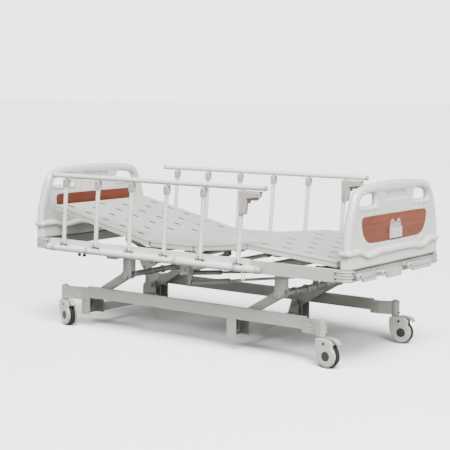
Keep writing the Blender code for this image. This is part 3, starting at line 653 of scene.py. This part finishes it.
def card_holder():
    """A folded clear pocket with two ears, screwed to the insert of the foot board."""
    face = PANEL_MIDDLE + PANEL_HALF - FIELD_SINK - INSERT_SINK + 0.0013
    back = [(-0.056, 0.64), (0.056, 0.64), (0.056, 0.704), (0.053, 0.709),
            *arc((0.032, 0.712), 0.0195, 10, 160, 8), (0.008, 0.713), (0.0, 0.7105), (-0.008, 0.713),
            *arc((-0.032, 0.712), 0.0195, 20, 170, 8), (-0.053, 0.709), (-0.056, 0.704)]
    piece("card_holder_back", prism(back, "x", face, face + 0.0016), CLEAR, "upper_frame", bevel=0.0005,
          segments=1)
    pocket = mm((-59.5, 636), (59.5, 636), (59.5, 687), (56, 690), (28, 690), (17, 684), (-17, 684),
                (-28, 690), (-56, 690), (-59.5, 687))
    piece("card_holder_pocket", prism(pocket, "x", face + 0.0048, face + 0.0064), CARD, "upper_frame",
          bevel=0.0006, segments=1)
    rim = joined(block((face + 0.0002, -0.0605, 0.6345), (face + 0.0068, 0.0605, 0.6368)),
                 *[block((face + 0.0002, side * 0.059, 0.635), (face + 0.0068, side * 0.0608, 0.688))
                   for side in (-1, 1)])
    piece("card_holder_rim", rim, CASTOR, "upper_frame", bevel=0.0004, segments=1, slot="board_white")
    for side in (-1, 1):
        screw_head(f"card_holder_screw_{'near' if side < 0 else 'far'}",
                   (face + 0.0014, side * 0.032, 0.712), (1, 0, 0), 0.0042, "upper_frame")


# ------------------------------------------------------------------ small hardware
def screw_head(name, at, direction, radius, body, finish=None):
    """A domed screw head with a hexagon socket."""
    rise = radius * 0.55
    profile = [(0.0, rise * 0.35), (radius * 0.42, rise * 0.35), (radius * 0.46, rise * 0.98),
               (radius * 0.72, rise * 0.9), (radius * 0.93, rise * 0.55), (radius, 0.0), (0.0, -rise * 0.2)]
    return piece(name, lathe(profile, at, direction, 16), finish or SCREW, body, smooth=30)


def nut(name, at, direction, radius, thickness, body):
    """A hexagon nut on its washer with the end of the bolt showing."""
    hexagon = [(0.0, thickness * 1.35), (radius * 0.42, thickness * 1.35), (radius * 0.5, thickness * 1.15),
               (radius * 0.5, thickness), (radius * 0.88, thickness), (radius, thickness * 0.82),
               (radius, 0.0012), (0.0, 0.0012)]
    washer = [(0.0, 0.0012), (radius * 1.35, 0.0012), (radius * 1.4, 0.0006), (radius * 1.4, 0.0),
              (0.0, 0.0)]
    bm = joined(lathe(hexagon, at, direction, 6), lathe(washer, at, direction, 20))
    return piece(name, bm, NUT, body, smooth=30)


# ------------------------------------------------------------------ deck
HINGE_Z = 0.544
DECK_HALF = 0.4
NOTCH_Y, NOTCH_HALF = 0.33, 0.017      # where the back section's lift arms pass a sheet's end
SLOT_LENGTH, SLOT_WIDTH = 0.054, 0.0175


def slot_outline(x, y):
    r = SLOT_WIDTH / 2
    run = SLOT_LENGTH / 2 - r
    return np.array(arc((x - run, y), r, 90, 270, 5) + arc((x + run, y), r, -90, 90, 5))


def deck_sheet(name, body, low_x, high_x, top, place, columns, rows, node, strips=(0.135, 0.27),
               strip_depth=0.0024, notched=None):
    """A pressed sheet section: flat field with slots and shallow strips, rolled edge and flanges."""
    radius = 0.005
    inner_low, inner_high, inner_half = low_x + radius, high_x - radius, DECK_HALF - radius
    notch_x = {"low": inner_low, "high": inner_high, None: math.inf}[notched]
    border = sheet_border(inner_low, inner_high, inner_half)
    slots = []
    for x in rows:
        for column, y in enumerate(columns):
            at = x + (0.5 * (rows[1] - rows[0]) if column % 2 else 0.0)
            if inner_low + 0.035 < at < inner_high - 0.035:
                slots.append(slot_outline(at, y))
    rings = [(offset_line(slot, -0.0028), True) for slot in slots]
    points = grid((inner_low + 0.01, -inner_half + 0.006), (inner_high - 0.005, inner_half - 0.003), 0.045,
                  0.0045)
    for slot in slots:
        reach = np.abs(points - slot.mean(axis=0))
        points = points[(reach[:, 0] > 0.029) | (reach[:, 1] > 0.0115)]
    verts, faces = flat_mesh(border, slots, rings, points)
    depth = np.zeros(len(verts))
    for strip in strips:
        for sign in (-1, 1):
            depth -= strip_depth * (1 - smoothstep(0.004, 0.011, np.abs(verts[:, 1] - sign * strip)))
    ends = np.minimum(verts[:, 0] - inner_low, inner_high - verts[:, 0])
    depth *= smoothstep(0.012, 0.03, ends)
    for slot in slots:
        depth -= 0.001 * (1 - smoothstep(0.0, 0.0026, line_distance(verts, slot)))

    bm = bmesh.new()
    field = [bm.verts.new((x, y, top + d)) for (x, y), d in zip(verts, depth)]
    for a, b, c in faces:
        bm.faces.new((field[a], field[b], field[c]))
    lookup = {(round(x, 6), round(y, 6)): vert for (x, y), vert in zip(verts, field)}
    ring = [lookup[(round(x, 6), round(y, 6))] for x, y in border]
    centre = np.array([(inner_low + inner_high) / 2, 0.0])
    reach = (border - centre) / np.array([(inner_high - inner_low) / 2, inner_half])
    away = np.where(np.abs(reach) > 0.9999, np.sign(reach), 0.0)
    turns = [math.radians(degrees) for degrees in (30, 60, 90)]
    levels = [(radius * math.sin(turn), -radius * (1 - math.cos(turn))) for turn in turns]
    levels += [(radius, -0.012), (radius - 0.0012, -0.0145), (radius - 0.0012, -0.02), (radius, -0.0225),
               (radius, -0.0345)]
    for offset, drop in levels:
        grown = [bm.verts.new((x, y, top + drop)) for x, y in border + away * offset]
        for step in range(len(ring)):
            following = (step + 1) % len(ring)
            x, y = (border[step] + border[following]) / 2
            if drop < -radius - 0.001 and abs(x - notch_x) < 0.001 and abs(abs(y) - NOTCH_Y) < NOTCH_HALF:
                continue
            bm.faces.new((ring[step], ring[following], grown[following], grown[step]))
        ring = grown
    bmesh.ops.delete(bm, geom=[vert for vert in bm.verts if not vert.link_faces], context="VERTS")
    bmesh.ops.recalc_face_normals(bm, faces=bm.faces)
    bmesh.ops.solidify(bm, geom=bm.faces[:], thickness=0.0016)
    if slots:
        # The lips round the slots are coloured near-black as painted shade.
        lips = joined(*[slot_lip(slot, top) for slot in slots])
        piece(f"{name}_slot_lips", lips, SHADE, body, smooth=50, place=place)
    piece(name, bm, DECK_COAT, body, smooth=50, place=place, instead_of=(node,))


def slot_lip(slot, top):
    """The down-turned lip round a slot."""
    bm = bmesh.new()
    loops = []
    for offset, drop in ((0.0, -0.0016), (0.0, -0.0105), (-0.0014, -0.0105), (-0.0014, -0.0016)):
        loops.append([bm.verts.new((x, y, top + drop)) for x, y in offset_line(slot, offset)])
    join_rings(bm, loops + loops[:1])
    return bm


def sheet_border(low, high, half):
    """The sheet's outline before its rolled edge, with a point at each side of the notches."""
    stops = [-half, -NOTCH_Y - NOTCH_HALF, -NOTCH_Y + NOTCH_HALF, NOTCH_Y - NOTCH_HALF,
             NOTCH_Y + NOTCH_HALF, half]
    across = [-half]
    for a, b in zip(stops, stops[1:]):
        across.extend(np.linspace(a, b, max(2, round((b - a) / 0.02) + 1))[1:])
    along = list(np.linspace(low, high, round((high - low) / 0.02) + 1))
    return np.array([(x, -half) for x in along[:-1]] + [(high, y) for y in across[:-1]]
                    + [(x, half) for x in along[:0:-1]] + [(low, y) for y in across[:0:-1]])


def deck():
    """The four pressed sheets of the deck, each at its angle at rest."""
    back_turn = Matrix.Translation((-0.244, 0, HINGE_Z)) @ Matrix.Rotation(math.radians(12.2), 4, "Y")
    thigh_turn = Matrix.Translation((0.06, 0, HINGE_Z)) @ Matrix.Rotation(math.radians(-6.43), 4, "Y")
    knee = thigh_turn @ Vector((0.355, 0, -0.022))
    leg_turn = Matrix.Translation(knee) @ Matrix.Rotation(math.radians(4.77), 4, "Y")
    six = (-0.33, -0.2, -0.07, 0.07, 0.2, 0.33)
    deck_sheet("back_sheet", "back_section", -0.736, -0.006, 0.008, back_turn, six,
               [-0.68 + 0.137 * i for i in range(5)], "back_section", notched="high")
    seat = Matrix.Translation((-0.092, 0, 0.552))
    ribs = (0.07, 0.2, 0.33)
    deck_sheet("seat_sheet", "upper_frame", -0.146, 0.146, 0.0, seat, six, (), "seat_section",
               strips=ribs, strip_depth=0.0042, notched="low")
    deck_sheet("thigh_sheet", "thigh_section", 0.006, 0.351, 0.008, thigh_turn, six, (), "thigh_section",
               strips=ribs, strip_depth=0.0042)
    deck_sheet("leg_sheet", "leg_section", 0.006, 0.545, 0.03, leg_turn, six,
               [0.06 + 0.137 * i for i in range(4)], "leg_section")


# ------------------------------------------------------------------ castors
STEM_X = {"head": -0.92, "foot": 0.868}
STEM_Y = 0.376
CASTOR_TURN = {"near_head": -20, "far_head": 8, "near_foot": -6, "far_foot": 10}
HUB_AT = Vector((0.042, 0.0, 0.0625))


def castor(corner, turn):
    """One castor: its two covers, hub discs, washer, tyre and brake pedal."""
    side = -1 if corner.startswith("near") else 1
    end = corner.split("_")[1]
    place = Matrix.Translation((STEM_X[end], side * STEM_Y, 0)) @ Matrix.Rotation(math.radians(turn), 4,
                                                                                  "Z")
    body = f"castor_{corner}"
    outline = mm((-27.5, 135), (-28.5, 105), (-25.5, 78), (-17, 52), (-3, 28.5), (17, 11.5), (40, 5.2),
                 (64, 10), (83, 24.5), (94.5, 45), (97.5, 68), (92, 89), (80, 103), (79, 114), (80, 126),
                 (70, 140), (56, 146.5), (20, 148), (-13, 147.5), (-24, 143))
    line = spline(outline, 0.005, closed=True)
    covers = []
    for face in (-1, 1):
        covers.append(cover_plate(line, face))
    bridge = mm((-26, 134), (-18, 112), (-10, 129), (30, 134.5), (58, 130), (74, 118), (74, 132),
                (56, 144), (20, 146), (-13, 145.5), (-23, 141))
    neck = lathe(mm((0, 0), (20, 0), (21.5, 2), (21.5, 5), (18, 6.2), (16, 8.5), (0, 8.5)), (0, 0, 0.145),
                 (0, 0, 1), 28)
    stem = round_bar((0, 0, 0.15), (0, 0, 0.205), 0.0108)
    axle = round_bar(HUB_AT - Vector((0, 0.028, 0)), HUB_AT + Vector((0, 0.028, 0)), 0.006)
    bm = joined(*covers, prism(bridge, "y", -0.017, 0.017), neck, stem, axle)
    piece(f"castor_cover_{corner}", bm, CASTOR, body, smooth=45, place=place,
          instead_of=(f"castor_shell_{corner}",))
    discs, dots = [], []
    for face in (-1, 1):
        at = HUB_AT + Vector((0, face * 0.0294, 0))
        discs.append(lathe(mm((0, 2.4), (12, 2.4), (13.2, 1.4), (23.6, 1.4), (24.8, 0), (0, -1)),
                           at, (0, face, 0), 32))
        dots.append(lathe(mm((0, 0.4), (5.2, 0.4), (5.6, 1.2), (7, 1.2), (7.5, 0), (0, -1)),
                          Vector((0.028, face * 0.0294, 0.124)), (0, face, 0), 24))
    piece(f"castor_hub_{corner}", joined(*discs), HUB, body, smooth=30, place=place)
    piece(f"castor_cap_{corner}", joined(*dots), HUB, body, smooth=30, place=place)
    ring = lathe(mm((11.5, 0), (20.5, 0), (21.5, 0.8), (20.5, 1.6), (11.5, 1.6), (11.5, 0)),
                 (0, 0, 0.1532), (0, 0, 1), 28)
    piece(f"castor_washer_{corner}", ring, DARK, body, smooth=30, place=place)

    tread = mm((7, -12), (50, -12), (51.5, -14), (56, -13.8), (59.5, -11.5), (61.5, -7.5), (62.4, -2.5),
               (62.4, 2.5), (61.5, 7.5), (59.5, 11.5), (56, 13.8), (51.5, 14), (50, 12), (7, 12),
               (7, -12))
    wheel = lathe(tread, HUB_AT, (0, 1, 0), 48)
    piece(f"castor_tyre_{corner}", wheel, TYRE, f"wheel_{corner}", smooth=40, place=place,
          instead_of=(f"castor_wheel_{corner}",))

    top = spline(mm((34, 149), (50, 149), (66, 146), (84, 138.5), (98, 129), (108, 122.5), (111, 126.5),
                    (106, 137), (93, 147), (74, 153), (50, 154), (34, 153.8)), 0.004, closed=True)
    pedal = prism([tuple(point) for point in top], "y", -0.0135, 0.0135)
    tread_bars = [block((0.08 + 0.007 * i, -0.011, 0.1492 - 0.0032 * i),
                        (0.0825 + 0.007 * i, 0.011, 0.1515 - 0.0036 * i))
                  for i in range(3)]
    piece(f"castor_pedal_{corner}", joined(pedal, *tread_bars), CASTOR, f"pedal_{corner}", smooth=40,
          bevel=0.0015, place=place, instead_of=(f"brake_pedal_{corner}",))


def cover_plate(line, face):
    """One castor cover: a domed plate whose edge rolls inwards."""
    rings = mm((0, 16.5), (0, 23.5), (1.2, 26.2), (4, 28.3), (8.5, 29.2), (13, 29.4))
    bm = bmesh.new()
    made = []
    clockwise = 1 if signed_area(line) > 0 else -1
    for inset, y in rings:
        loop = offset_line(line, clockwise * inset)
        made.append([bm.verts.new((x, face * y, z)) for x, z in loop])
    return capped_tube(bm, made)


def signed_area(line):
    following = np.roll(line, -1, axis=0)
    return 0.5 * float(np.sum(line[:, 0] * following[:, 1] - following[:, 0] * line[:, 1]))


# ------------------------------------------------------------------ side guards
POST_X = [-0.807 + 0.2478 * i for i in range(6)]
POST_FOOT, POST_HEAD, POST_LEAN = 0.508, 0.862, 0.025


def guard(side_name, side):
    """The caps, pins, buffers, brackets, rail ends and latch of one side guard."""
    y = side * GUARD_Y
    for index, x in enumerate(POST_X):
        body = f"{side_name}_guard_post_{index + 1}"
        low = Vector((x, y, POST_FOOT))
        high = Vector((x + POST_LEAN, y, POST_HEAD))
        heading = (high - low).normalized()
        across = Vector((heading.z, 0, -heading.x))
        if index < 5:
            post_cap(f"{side_name}_post_cap_{index + 1}", body, high, heading, across, side)
        screw_head(f"{side_name}_post_pin_{index + 1}", high + Vector((0, side * 0.015, -0.004)),
                   (0, side, 0), 0.0035, body)
        screw_head(f"{side_name}_post_bolt_{index + 1}", low + Vector((0, side * 0.012, 0.002)),
                   (0, side, 0), 0.0045, body)
        # low enough for the post to fold over it
        buffer = prism([(x + 0.013, 0.4896), (x + 0.0265, 0.4896), (x + 0.0265, 0.4958), (x + 0.013, 0.4958)],
                       "y", side * 0.4885, side * 0.506)
        piece(f"{side_name}_post_buffer_{index + 1}", buffer, DARK, "upper_frame", bevel=0.0008)
        bracket = joined(
            block((x + 0.027, side * 0.487, 0.488), (x + 0.0345, side * 0.5075, 0.4962)),
            block((x - 0.03, side * 0.487, 0.49), (x - 0.017, side * 0.5075, 0.505)))
        piece(f"{side_name}_post_bracket_{index + 1}", bracket, FITTING, "upper_frame", bevel=0.002)
        screw_head(f"{side_name}_bracket_screw_{index + 1}", (x - 0.0235, side * 0.5072, 0.4975),
                   (0, side, 0), 0.0035, "upper_frame")
    rail_ends(side_name, side, y)
    latch(side_name, side, y)


def post_cap(name, body, high, heading, across, side):
    """The forked plastic cap at a post's top."""
    outline = []
    shape = mm((-13.5, -30), (-12, -35.5), (12, -35.5), (13.5, -30), (15, -5), (15, 3), (10.5, 10),
               (-10.5, 10), (-15, 3), (-15, -5))
    for u, v in shape:
        at = high + across * u + heading * v
        outline.append((at.x, at.z))
    y = side * GUARD_Y
    halves = [prism(outline, "y", y + face * 0.0036, y + face * 0.0152) for face in (-1, 1)]
    piece(name, joined(*halves), FITTING, body, bevel=0.0028, segments=3)


def rail_ends(side_name, side, y):
    """Rounded caps on the guard's top rail and lower rail, and sleeves on the lower rail."""
    for tag, x, out in (("head", -0.884, -1), ("foot", 0.601, 1)):
        profile = mm((0, 8.5), (6, 8), (10.5, 5.8), (13, 2.5), (13.8, -1), (13.8, -6), (0, -6))
        piece(f"{side_name}_top_rail_cap_{tag}", lathe(profile, (x, y, TOP_RAIL_Z), (out, 0, 0), 24),
              FITTING, f"{side_name}_guard_top_rail", smooth=50)
    for tag, x, out in (("head", -0.95, -1), ("foot", 0.552, 1)):
        profile = mm((0, 15), (7, 13.8), (13.5, 10), (17.8, 4), (19.4, -2), (19.4, -16), (0, -16))
        piece(f"{side_name}_lower_rail_cap_{tag}", lathe(profile, (x, side * LOWER_RAIL_Y, LOWER_RAIL_Z),
                                                         (out, 0, 0), 28),
              FITTING, "upper_frame", smooth=50)
    for number, x in enumerate((-0.905, -0.64, 0.000, 0.395)):
        sleeve = lathe(mm((19, 0), (20, 0.8), (20, 25.2), (19, 26), (18.8, 26), (18.8, 0), (19, 0)),
                       (x, side * LOWER_RAIL_Y, LOWER_RAIL_Z), (1, 0, 0), 28)
        piece(f"{side_name}_rail_sleeve_{number + 1}", sleeve, COAT, "upper_frame", smooth=40)


def latch(side_name, side, y):
    """The latch housing on the foot-end post: body, arm, side plate, screws, and its red trigger."""
    body = f"{side_name}_guard_post_6"
    at = Vector((POST_X[5] + POST_LEAN, y, POST_HEAD))
    shape = mm((-17, 8), (-16, -60), (-15.5, -108), (-6, -115), (20, -110), (23.5, -95), (29, -42),
               (33, -28.5), (60, -27), (95, -21), (113, -8), (115, 5), (112, 9))
    outline = [(at.x + u, at.z + v) for u, v in shape]
    shells = [prism(outline, "y", y + face * 0.0078, y + face * 0.0158) for face in (-1, 1)]
    ridge = mm((-16, -30), (-15.5, -107), (-6, -114), (19, -109), (22.5, -95), (27.5, -46))
    spine = prism([(at.x + u, at.z + v) for u, v in ridge], "y", y - 0.008, y + 0.008)
    piece(f"{side_name}_latch_housing", joined(*shells, spine), FITTING, body, bevel=0.0024, segments=3)
    plate = mm((-12.5, -30), (-13, -100), (-5, -105), (-1, -100), (-1, -30))
    bm = prism([(at.x + u, at.z + v) for u, v in plate], "y", y + side * 0.0156, y + side * 0.0172)
    piece(f"{side_name}_latch_plate", bm, CASTOR, body, bevel=0.0007, segments=1)
    for number, (u, v) in enumerate(((0.014, -0.103), (-0.006, -0.111), (0.1, -0.004))):
        screw_head(f"{side_name}_latch_screw_{number + 1}", at + Vector((u, side * 0.0156, v)),
                   (0, side, 0), 0.003, body)
    lever = mm((38, -18), (38, -52), (46, -54), (50, -39), (90, -37), (101, -30), (106, -18))
    bm = prism([(at.x + u, at.z + v) for u, v in lever], "y", y - 0.0068, y + 0.0068)
    piece(f"{side_name}_red_trigger", bm, TRIGGER, f"{side_name}_guard_trigger", bevel=0.0018, segments=3,
          instead_of=(f"{side_name}_guard_trigger",))


# ------------------------------------------------------------------ frame hardware
def frame_hardware():
    """Screws, nuts, caps and small fittings of the frame and the base."""
    for end, out in ENDS.items():
        for side_name, side in SIDES.items():
            corner_trim(f"{end}_{side_name}", out, side)
    hanger_caps()
    for side_name, side in SIDES.items():
        for number, (x, z) in enumerate(((-0.195, 0.44), (0.04, 0.42))):
            nut(f"{side_name}_bearing_nut_{number + 1}", (x, side * 0.4458, z), (0, side, 0), 0.0085, 0.006,
                "upper_frame")
        for end, stem_x in STEM_X.items():
            out = ENDS[end]
            for row in (0.18, 0.2):
                for step in (0.04, 0.054):
                    x = (0.735 if end == "foot" else -0.75) + out * (step + 0.012)
                    y = 0.361 + (step + 0.012 - 0.045) * 0.3 + 0.0052
                    screw_head(f"{end}_{side_name}_end_screw_{int(step * 1000)}_{int(row * 1000)}",
                               (x, side * y, row), (0, side, 0), 0.0042, "base", finish=ZINC)
            knob = lathe(mm((0, 6), (4.5, 5.5), (6, 3), (6, 0), (0, 0)),
                         (stem_x + out * 0.0215, side * STEM_Y, 0.168), (out, 0, 0), 16)
            piece(f"{end}_{side_name}_stem_screw", knob, SCREW, "base", smooth=40)
    wire_hook()
    knobs()
    hanging_pin()


def corner_trim(name, out, side):
    """Ribs and screws on a corner casting."""
    radius = 0.042
    path = [(0.992, 0.4745), (1.01, 0.4745), *arc((1.076 - radius, 0.4745 - radius), radius, 90, 0, 10),
            (1.076, 0.43)]
    if out < 0:
        path = [(0.957, 0.4745)] + path
    ribs = []
    for z in (0.4565, 0.4705, 0.4845, 0.4985):
        points = [(out * x, side * y, z + 0.0045) for x, y in path]
        ribs.append(sweep(points, circle(0.0026, 8)))
    piece(f"{name}_corner_ribs", joined(*ribs), COAT, "upper_frame", smooth=60)
    for z in (0.47, 0.496):
        screw_head(f"{name}_corner_end_screw_{int(z * 1000)}", (out * 1.0758, side * 0.437, z), (out, 0, 0),
                   0.0062, "upper_frame")
        x = 0.999 if out > 0 else 0.965
        screw_head(f"{name}_corner_side_screw_{int(z * 1000)}", (out * x, side * 0.4744, z), (0, side, 0),
                   0.0062, "upper_frame")


def hanger_caps():
    """Wide caps on the torque tube ends, nylon collars and the nuts of the lower pivots."""
    tops = {"head": (-0.513, 0.32), "foot": (0.547, 0.32)}
    for end, (x, z) in tops.items():
        for side_name, side in SIDES.items():
            profile = mm((0, 5.5), (20.5, 5.2), (24.2, 3.8), (25.6, 1), (25.6, -6), (0, -6))
            piece(f"{end}_{side_name}_torque_cap", lathe(profile, (x, side * 0.3096, z), (0, side, 0), 36),
                  BASE_COAT, f"lift_arm_{end}", smooth=50)
        for number, y in enumerate((-0.085, 0.03) if end == "head" else (-0.15, -0.04)):
            collar = lathe(mm((18, -7), (22.5, -7), (23.5, -5), (23.5, 5), (22.5, 7), (18, 7), (18, -7)),
                           (x, y, z), (0, 1, 0), 28)
            piece(f"{end}_nylon_collar_{number + 1}", collar, CASTOR, f"lift_arm_{end}", smooth=40)
    for end, (x, z) in {"head": (-0.775, 0.168), "foot": (0.285, 0.168)}.items():
        for side_name, side in SIDES.items():
            nut(f"{end}_{side_name}_pivot_nut", (x, side * 0.2305, z), (0, -side, 0), 0.012, 0.007,
                f"lift_arm_{end}")


def wire_hook():
    """A bent wire hook under each lower guard rail."""
    for side_name, side in SIDES.items():
        y = side * LOWER_RAIL_Y
        path = spline([(0.45, y, 0.456), (0.45, y, 0.44), (0.4495, y, 0.425), (0.454, y, 0.4145),
                       (0.462, y, 0.413), (0.468, y, 0.418), (0.469, y, 0.43), (0.469, y, 0.445)], 0.003)
        piece(f"{side_name}_wire_hook", sweep(path, circle(0.0028, 8)), STEEL, "upper_frame", smooth=60)


def hanging_pin():
    """A thin pin that hangs below the foot end of the frame."""
    pin = joined(round_bar((1.064, 0.0, 0.456), (1.064, 0.0, 0.424), 0.0022, steps=10),
                 round_bar((1.064, 0.0, 0.424), (1.064, 0.006, 0.4225), 0.0022, steps=10))
    piece("foot_hanging_pin", pin, STEEL, "upper_frame", smooth=60)


def knobs():
    """Two round knobs under each lower guard rail near the head end."""
    for side_name, side in SIDES.items():
        for number, x in enumerate((-0.7, -0.662)):
            profile = mm((0, 18), (8.5, 17.5), (10.5, 15), (10.5, 8), (7.5, 6), (6, 0), (0, 0))
            piece(f"{side_name}_knob_{number + 1}", lathe(profile, (x, side * 0.484, 0.452), (0, 0, -1),
                                                          20), DARK,
                  "upper_frame", smooth=40)


# ------------------------------------------------------------------ cranks
CRANKS = {"knee": (-0.41, 0.161, 1.09), "back": (-0.213, 0.176, 1.114), "height": (0.1, 0.233, 1.09)}
CRANK_Z = 0.482


def crank(name, y, reach, face):
    """A broad moulded crank arm over the CAD stub, the barrel grip under its end, and a dark ring of painted
    shade behind its hub.
    """
    tip = y + reach - 0.01
    shell = [(y - 0.018, CRANK_Z - 0.012), (y - 0.02, CRANK_Z + 0.004), (y - 0.012, CRANK_Z + 0.0145),
             (y + 0.02, CRANK_Z + 0.016), (y + 0.045, CRANK_Z + 0.0125), (tip + 0.002, CRANK_Z + 0.0095),
             (tip + 0.009, CRANK_Z + 0.004), (tip + 0.009, CRANK_Z - 0.006), (tip, CRANK_Z - 0.0095),
             (y + 0.045, CRANK_Z - 0.012), (y + 0.02, CRANK_Z - 0.015), (y - 0.008, CRANK_Z - 0.016)]
    bm = joined(prism(shell, "x", face - 0.001, face + 0.0112),
                round_bar((1.003, y, CRANK_Z), (face, y, CRANK_Z), 0.0085),
                lathe(mm((0, 0), (14.5, 0), (15, 1), (15, 14.5), (13.5, 15.5), (0, 15.5)),
                      (1.0625, y, CRANK_Z), (1, 0, 0), 24))
    piece(f"{name}_crank_arm", bm, CASTOR, f"{name}_crank", bevel=0.0026, segments=3,
          instead_of=(f"{name}_crank",), slot="aluminium")
    centre = Vector((face + 0.005, tip, CRANK_Z - 0.0235))
    length = reach - 0.04 + 0.008
    profile = [(0.0, 0.0), (0.006, 0.0), (0.0078, 0.0016), (0.0084, 0.006), (0.0085, 0.02),
               (0.008, length * 0.5), (0.0085, length - 0.02), (0.0084, length - 0.005),
               (0.007, length - 0.001), (0.0, length)]
    lug = round_bar(centre + Vector((0, 0, -0.007)), centre + Vector((0, 0, 0.0128)), 0.0064, steps=16)
    bm = joined(lathe(profile, centre + Vector((0, 0.008, 0)), (0, -1, 0), 24), lug)
    piece(f"{name}_grip_barrel", bm, CASTOR, f"{name}_crank_grip", smooth=45,
          instead_of=(f"{name}_crank_grip",))
    # A dark ring behind the crank hub: painted shade round the hub.
    washer = lathe(mm((0, 0), (17, 0), (17.5, 0.8), (17.5, 2.8), (16.5, 3.6), (0, 3.6)),
                   (1.0762, y, CRANK_Z), (1, 0, 0), 28)
    piece(f"{name}_crank_shade_ring", washer, NUT, f"{name}_crank", smooth=40)
    screw_head(f"{name}_crank_bolt", (face + 0.0112, y, CRANK_Z), (1, 0, 0), 0.006, f"{name}_crank")


# ------------------------------------------------------------------ CAD nodes that stay
def finish_nodes():
    """Materials of the CAD nodes that stay visible."""
    finishes = {
        "base_frame": BASE_COAT, "lift_arm": BASE_COAT, "hi_lo_link": BASE_COAT, "hanger": BASE_COAT,
        "back_lift": BASE_COAT, "knee_lift": BASE_COAT, "side_rail": COAT, "beam": COAT,
        "push_tube": DARK_COAT_AND_SHADE, "screw": DARK_COAT_AND_SHADE, "guard_top_rail": ALU, "guard_lower_rail": ALU,
        "guard_post": ALU,
    }
    for name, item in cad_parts.items():
        for key, finish in finishes.items():
            if key in name:
                for slot in item.material_slots:
                    slot.material = finish


# ------------------------------------------------------------------ stage, light and camera
def studio():
    """A pale floor, a soft sky band, a broad sun and two fill lights."""
    bm = bmesh.new()
    bmesh.ops.create_grid(bm, x_segments=8, y_segments=8, size=300.0)
    mesh = bpy.data.meshes.new("studio_floor")
    bm.to_mesh(mesh)
    bm.free()
    floor = bpy.data.objects.new("studio_floor", mesh)
    mesh.materials.append(surface("floor_paper", (0.86, 0.86, 0.857), 0.9, grain=30, grain_height=0.0001,
                                  drift=0.01))
    bpy.context.scene.collection.objects.link(floor)
    floor.visible_diffuse = False

    world = bpy.data.worlds.new("studio_world")
    bpy.context.scene.world = world
    world.use_nodes = True
    tree = world.node_tree
    heading = tree.nodes.new("ShaderNodeTexCoord")
    split = tree.nodes.new("ShaderNodeSeparateXYZ")
    tree.links.new(heading.outputs["Generated"], split.inputs["Vector"])
    rise = tree.nodes.new("ShaderNodeMapRange")
    rise.inputs["From Min"].default_value = -0.25
    rise.inputs["From Max"].default_value = 0.25
    tree.links.new(split.outputs["Z"], rise.inputs["Value"])
    bands = ((0.44, 0.015), (0.47, 1.0), (0.67, 1.0), (0.74, 0.12))
    sky = ramp(tree.nodes.new, [(place, (level, level, level * 0.985)) for place, level in bands])
    tree.links.new(rise.outputs["Result"], sky.inputs["Fac"])
    background = tree.nodes["Background"]
    background.inputs["Strength"].default_value = SKY_STRENGTH
    tree.links.new(sky.outputs["Color"], background.inputs["Color"])

    def area(name, location, aim, size, power):
        light = bpy.data.lights.new(name, "AREA")
        light.shape = "RECTANGLE"
        light.size, light.size_y = size
        light.energy = power
        item = bpy.data.objects.new(name, light)
        item.location = location
        heading = Vector(aim) - Vector(location)
        item.rotation_euler = heading.to_track_quat("-Z", "Y").to_euler()
        bpy.context.scene.collection.objects.link(item)

    area("fill_light", (4.6, -2.6, 3.3), (0.9, -0.1, 0.6), (2.0, 1.2), 330)
    area("side_fill", (-0.8, -5.4, 2.3), (0.0, -0.3, 0.4), (4.2, 1.5), 55)
    sun = bpy.data.lights.new("soft_sun", "SUN")
    sun.energy = SUN_STRENGTH
    sun.angle = math.radians(34)
    item = bpy.data.objects.new("soft_sun", sun)
    item.rotation_euler = Vector((-0.3, 0.4, -0.87)).to_track_quat("-Z", "Y").to_euler()
    bpy.context.scene.collection.objects.link(item)


def camera():
    """The camera at the bed's near foot corner, a little above the deck."""
    data = bpy.data.cameras.new("camera")
    data.sensor_fit = "HORIZONTAL"
    data.sensor_width = 36.0
    data.lens = 94.34
    data.clip_end = 200.0
    item = bpy.data.objects.new("camera", data)
    target = SHIFT @ Vector((-0.0279, 0.0, 0.6191))
    place = SHIFT @ Vector((3.9596, -5.3146, 1.3536))
    heading = (target - place).normalized()
    right = heading.cross(Vector((0, 0, 1))).normalized()
    up = right.cross(heading)
    roll = math.radians(0.3645)
    side = right * math.cos(roll) + up * math.sin(roll)
    top = -right * math.sin(roll) + up * math.cos(roll)
    turn = Matrix((side, top, -heading)).transposed()
    item.matrix_world = Matrix.Translation(place) @ turn.to_4x4()
    bpy.context.scene.collection.objects.link(item)
    bpy.context.scene.camera = item


camera()
studio()
finish_nodes()
for end, out in ENDS.items():
    end_board(end, out)
card_holder()
deck()
for corner, turn in CASTOR_TURN.items():
    castor(corner, turn)
for side_name, side in SIDES.items():
    guard(side_name, side)
frame_hardware()
for name, (y, reach, face) in CRANKS.items():
    crank(name, y, reach, face)
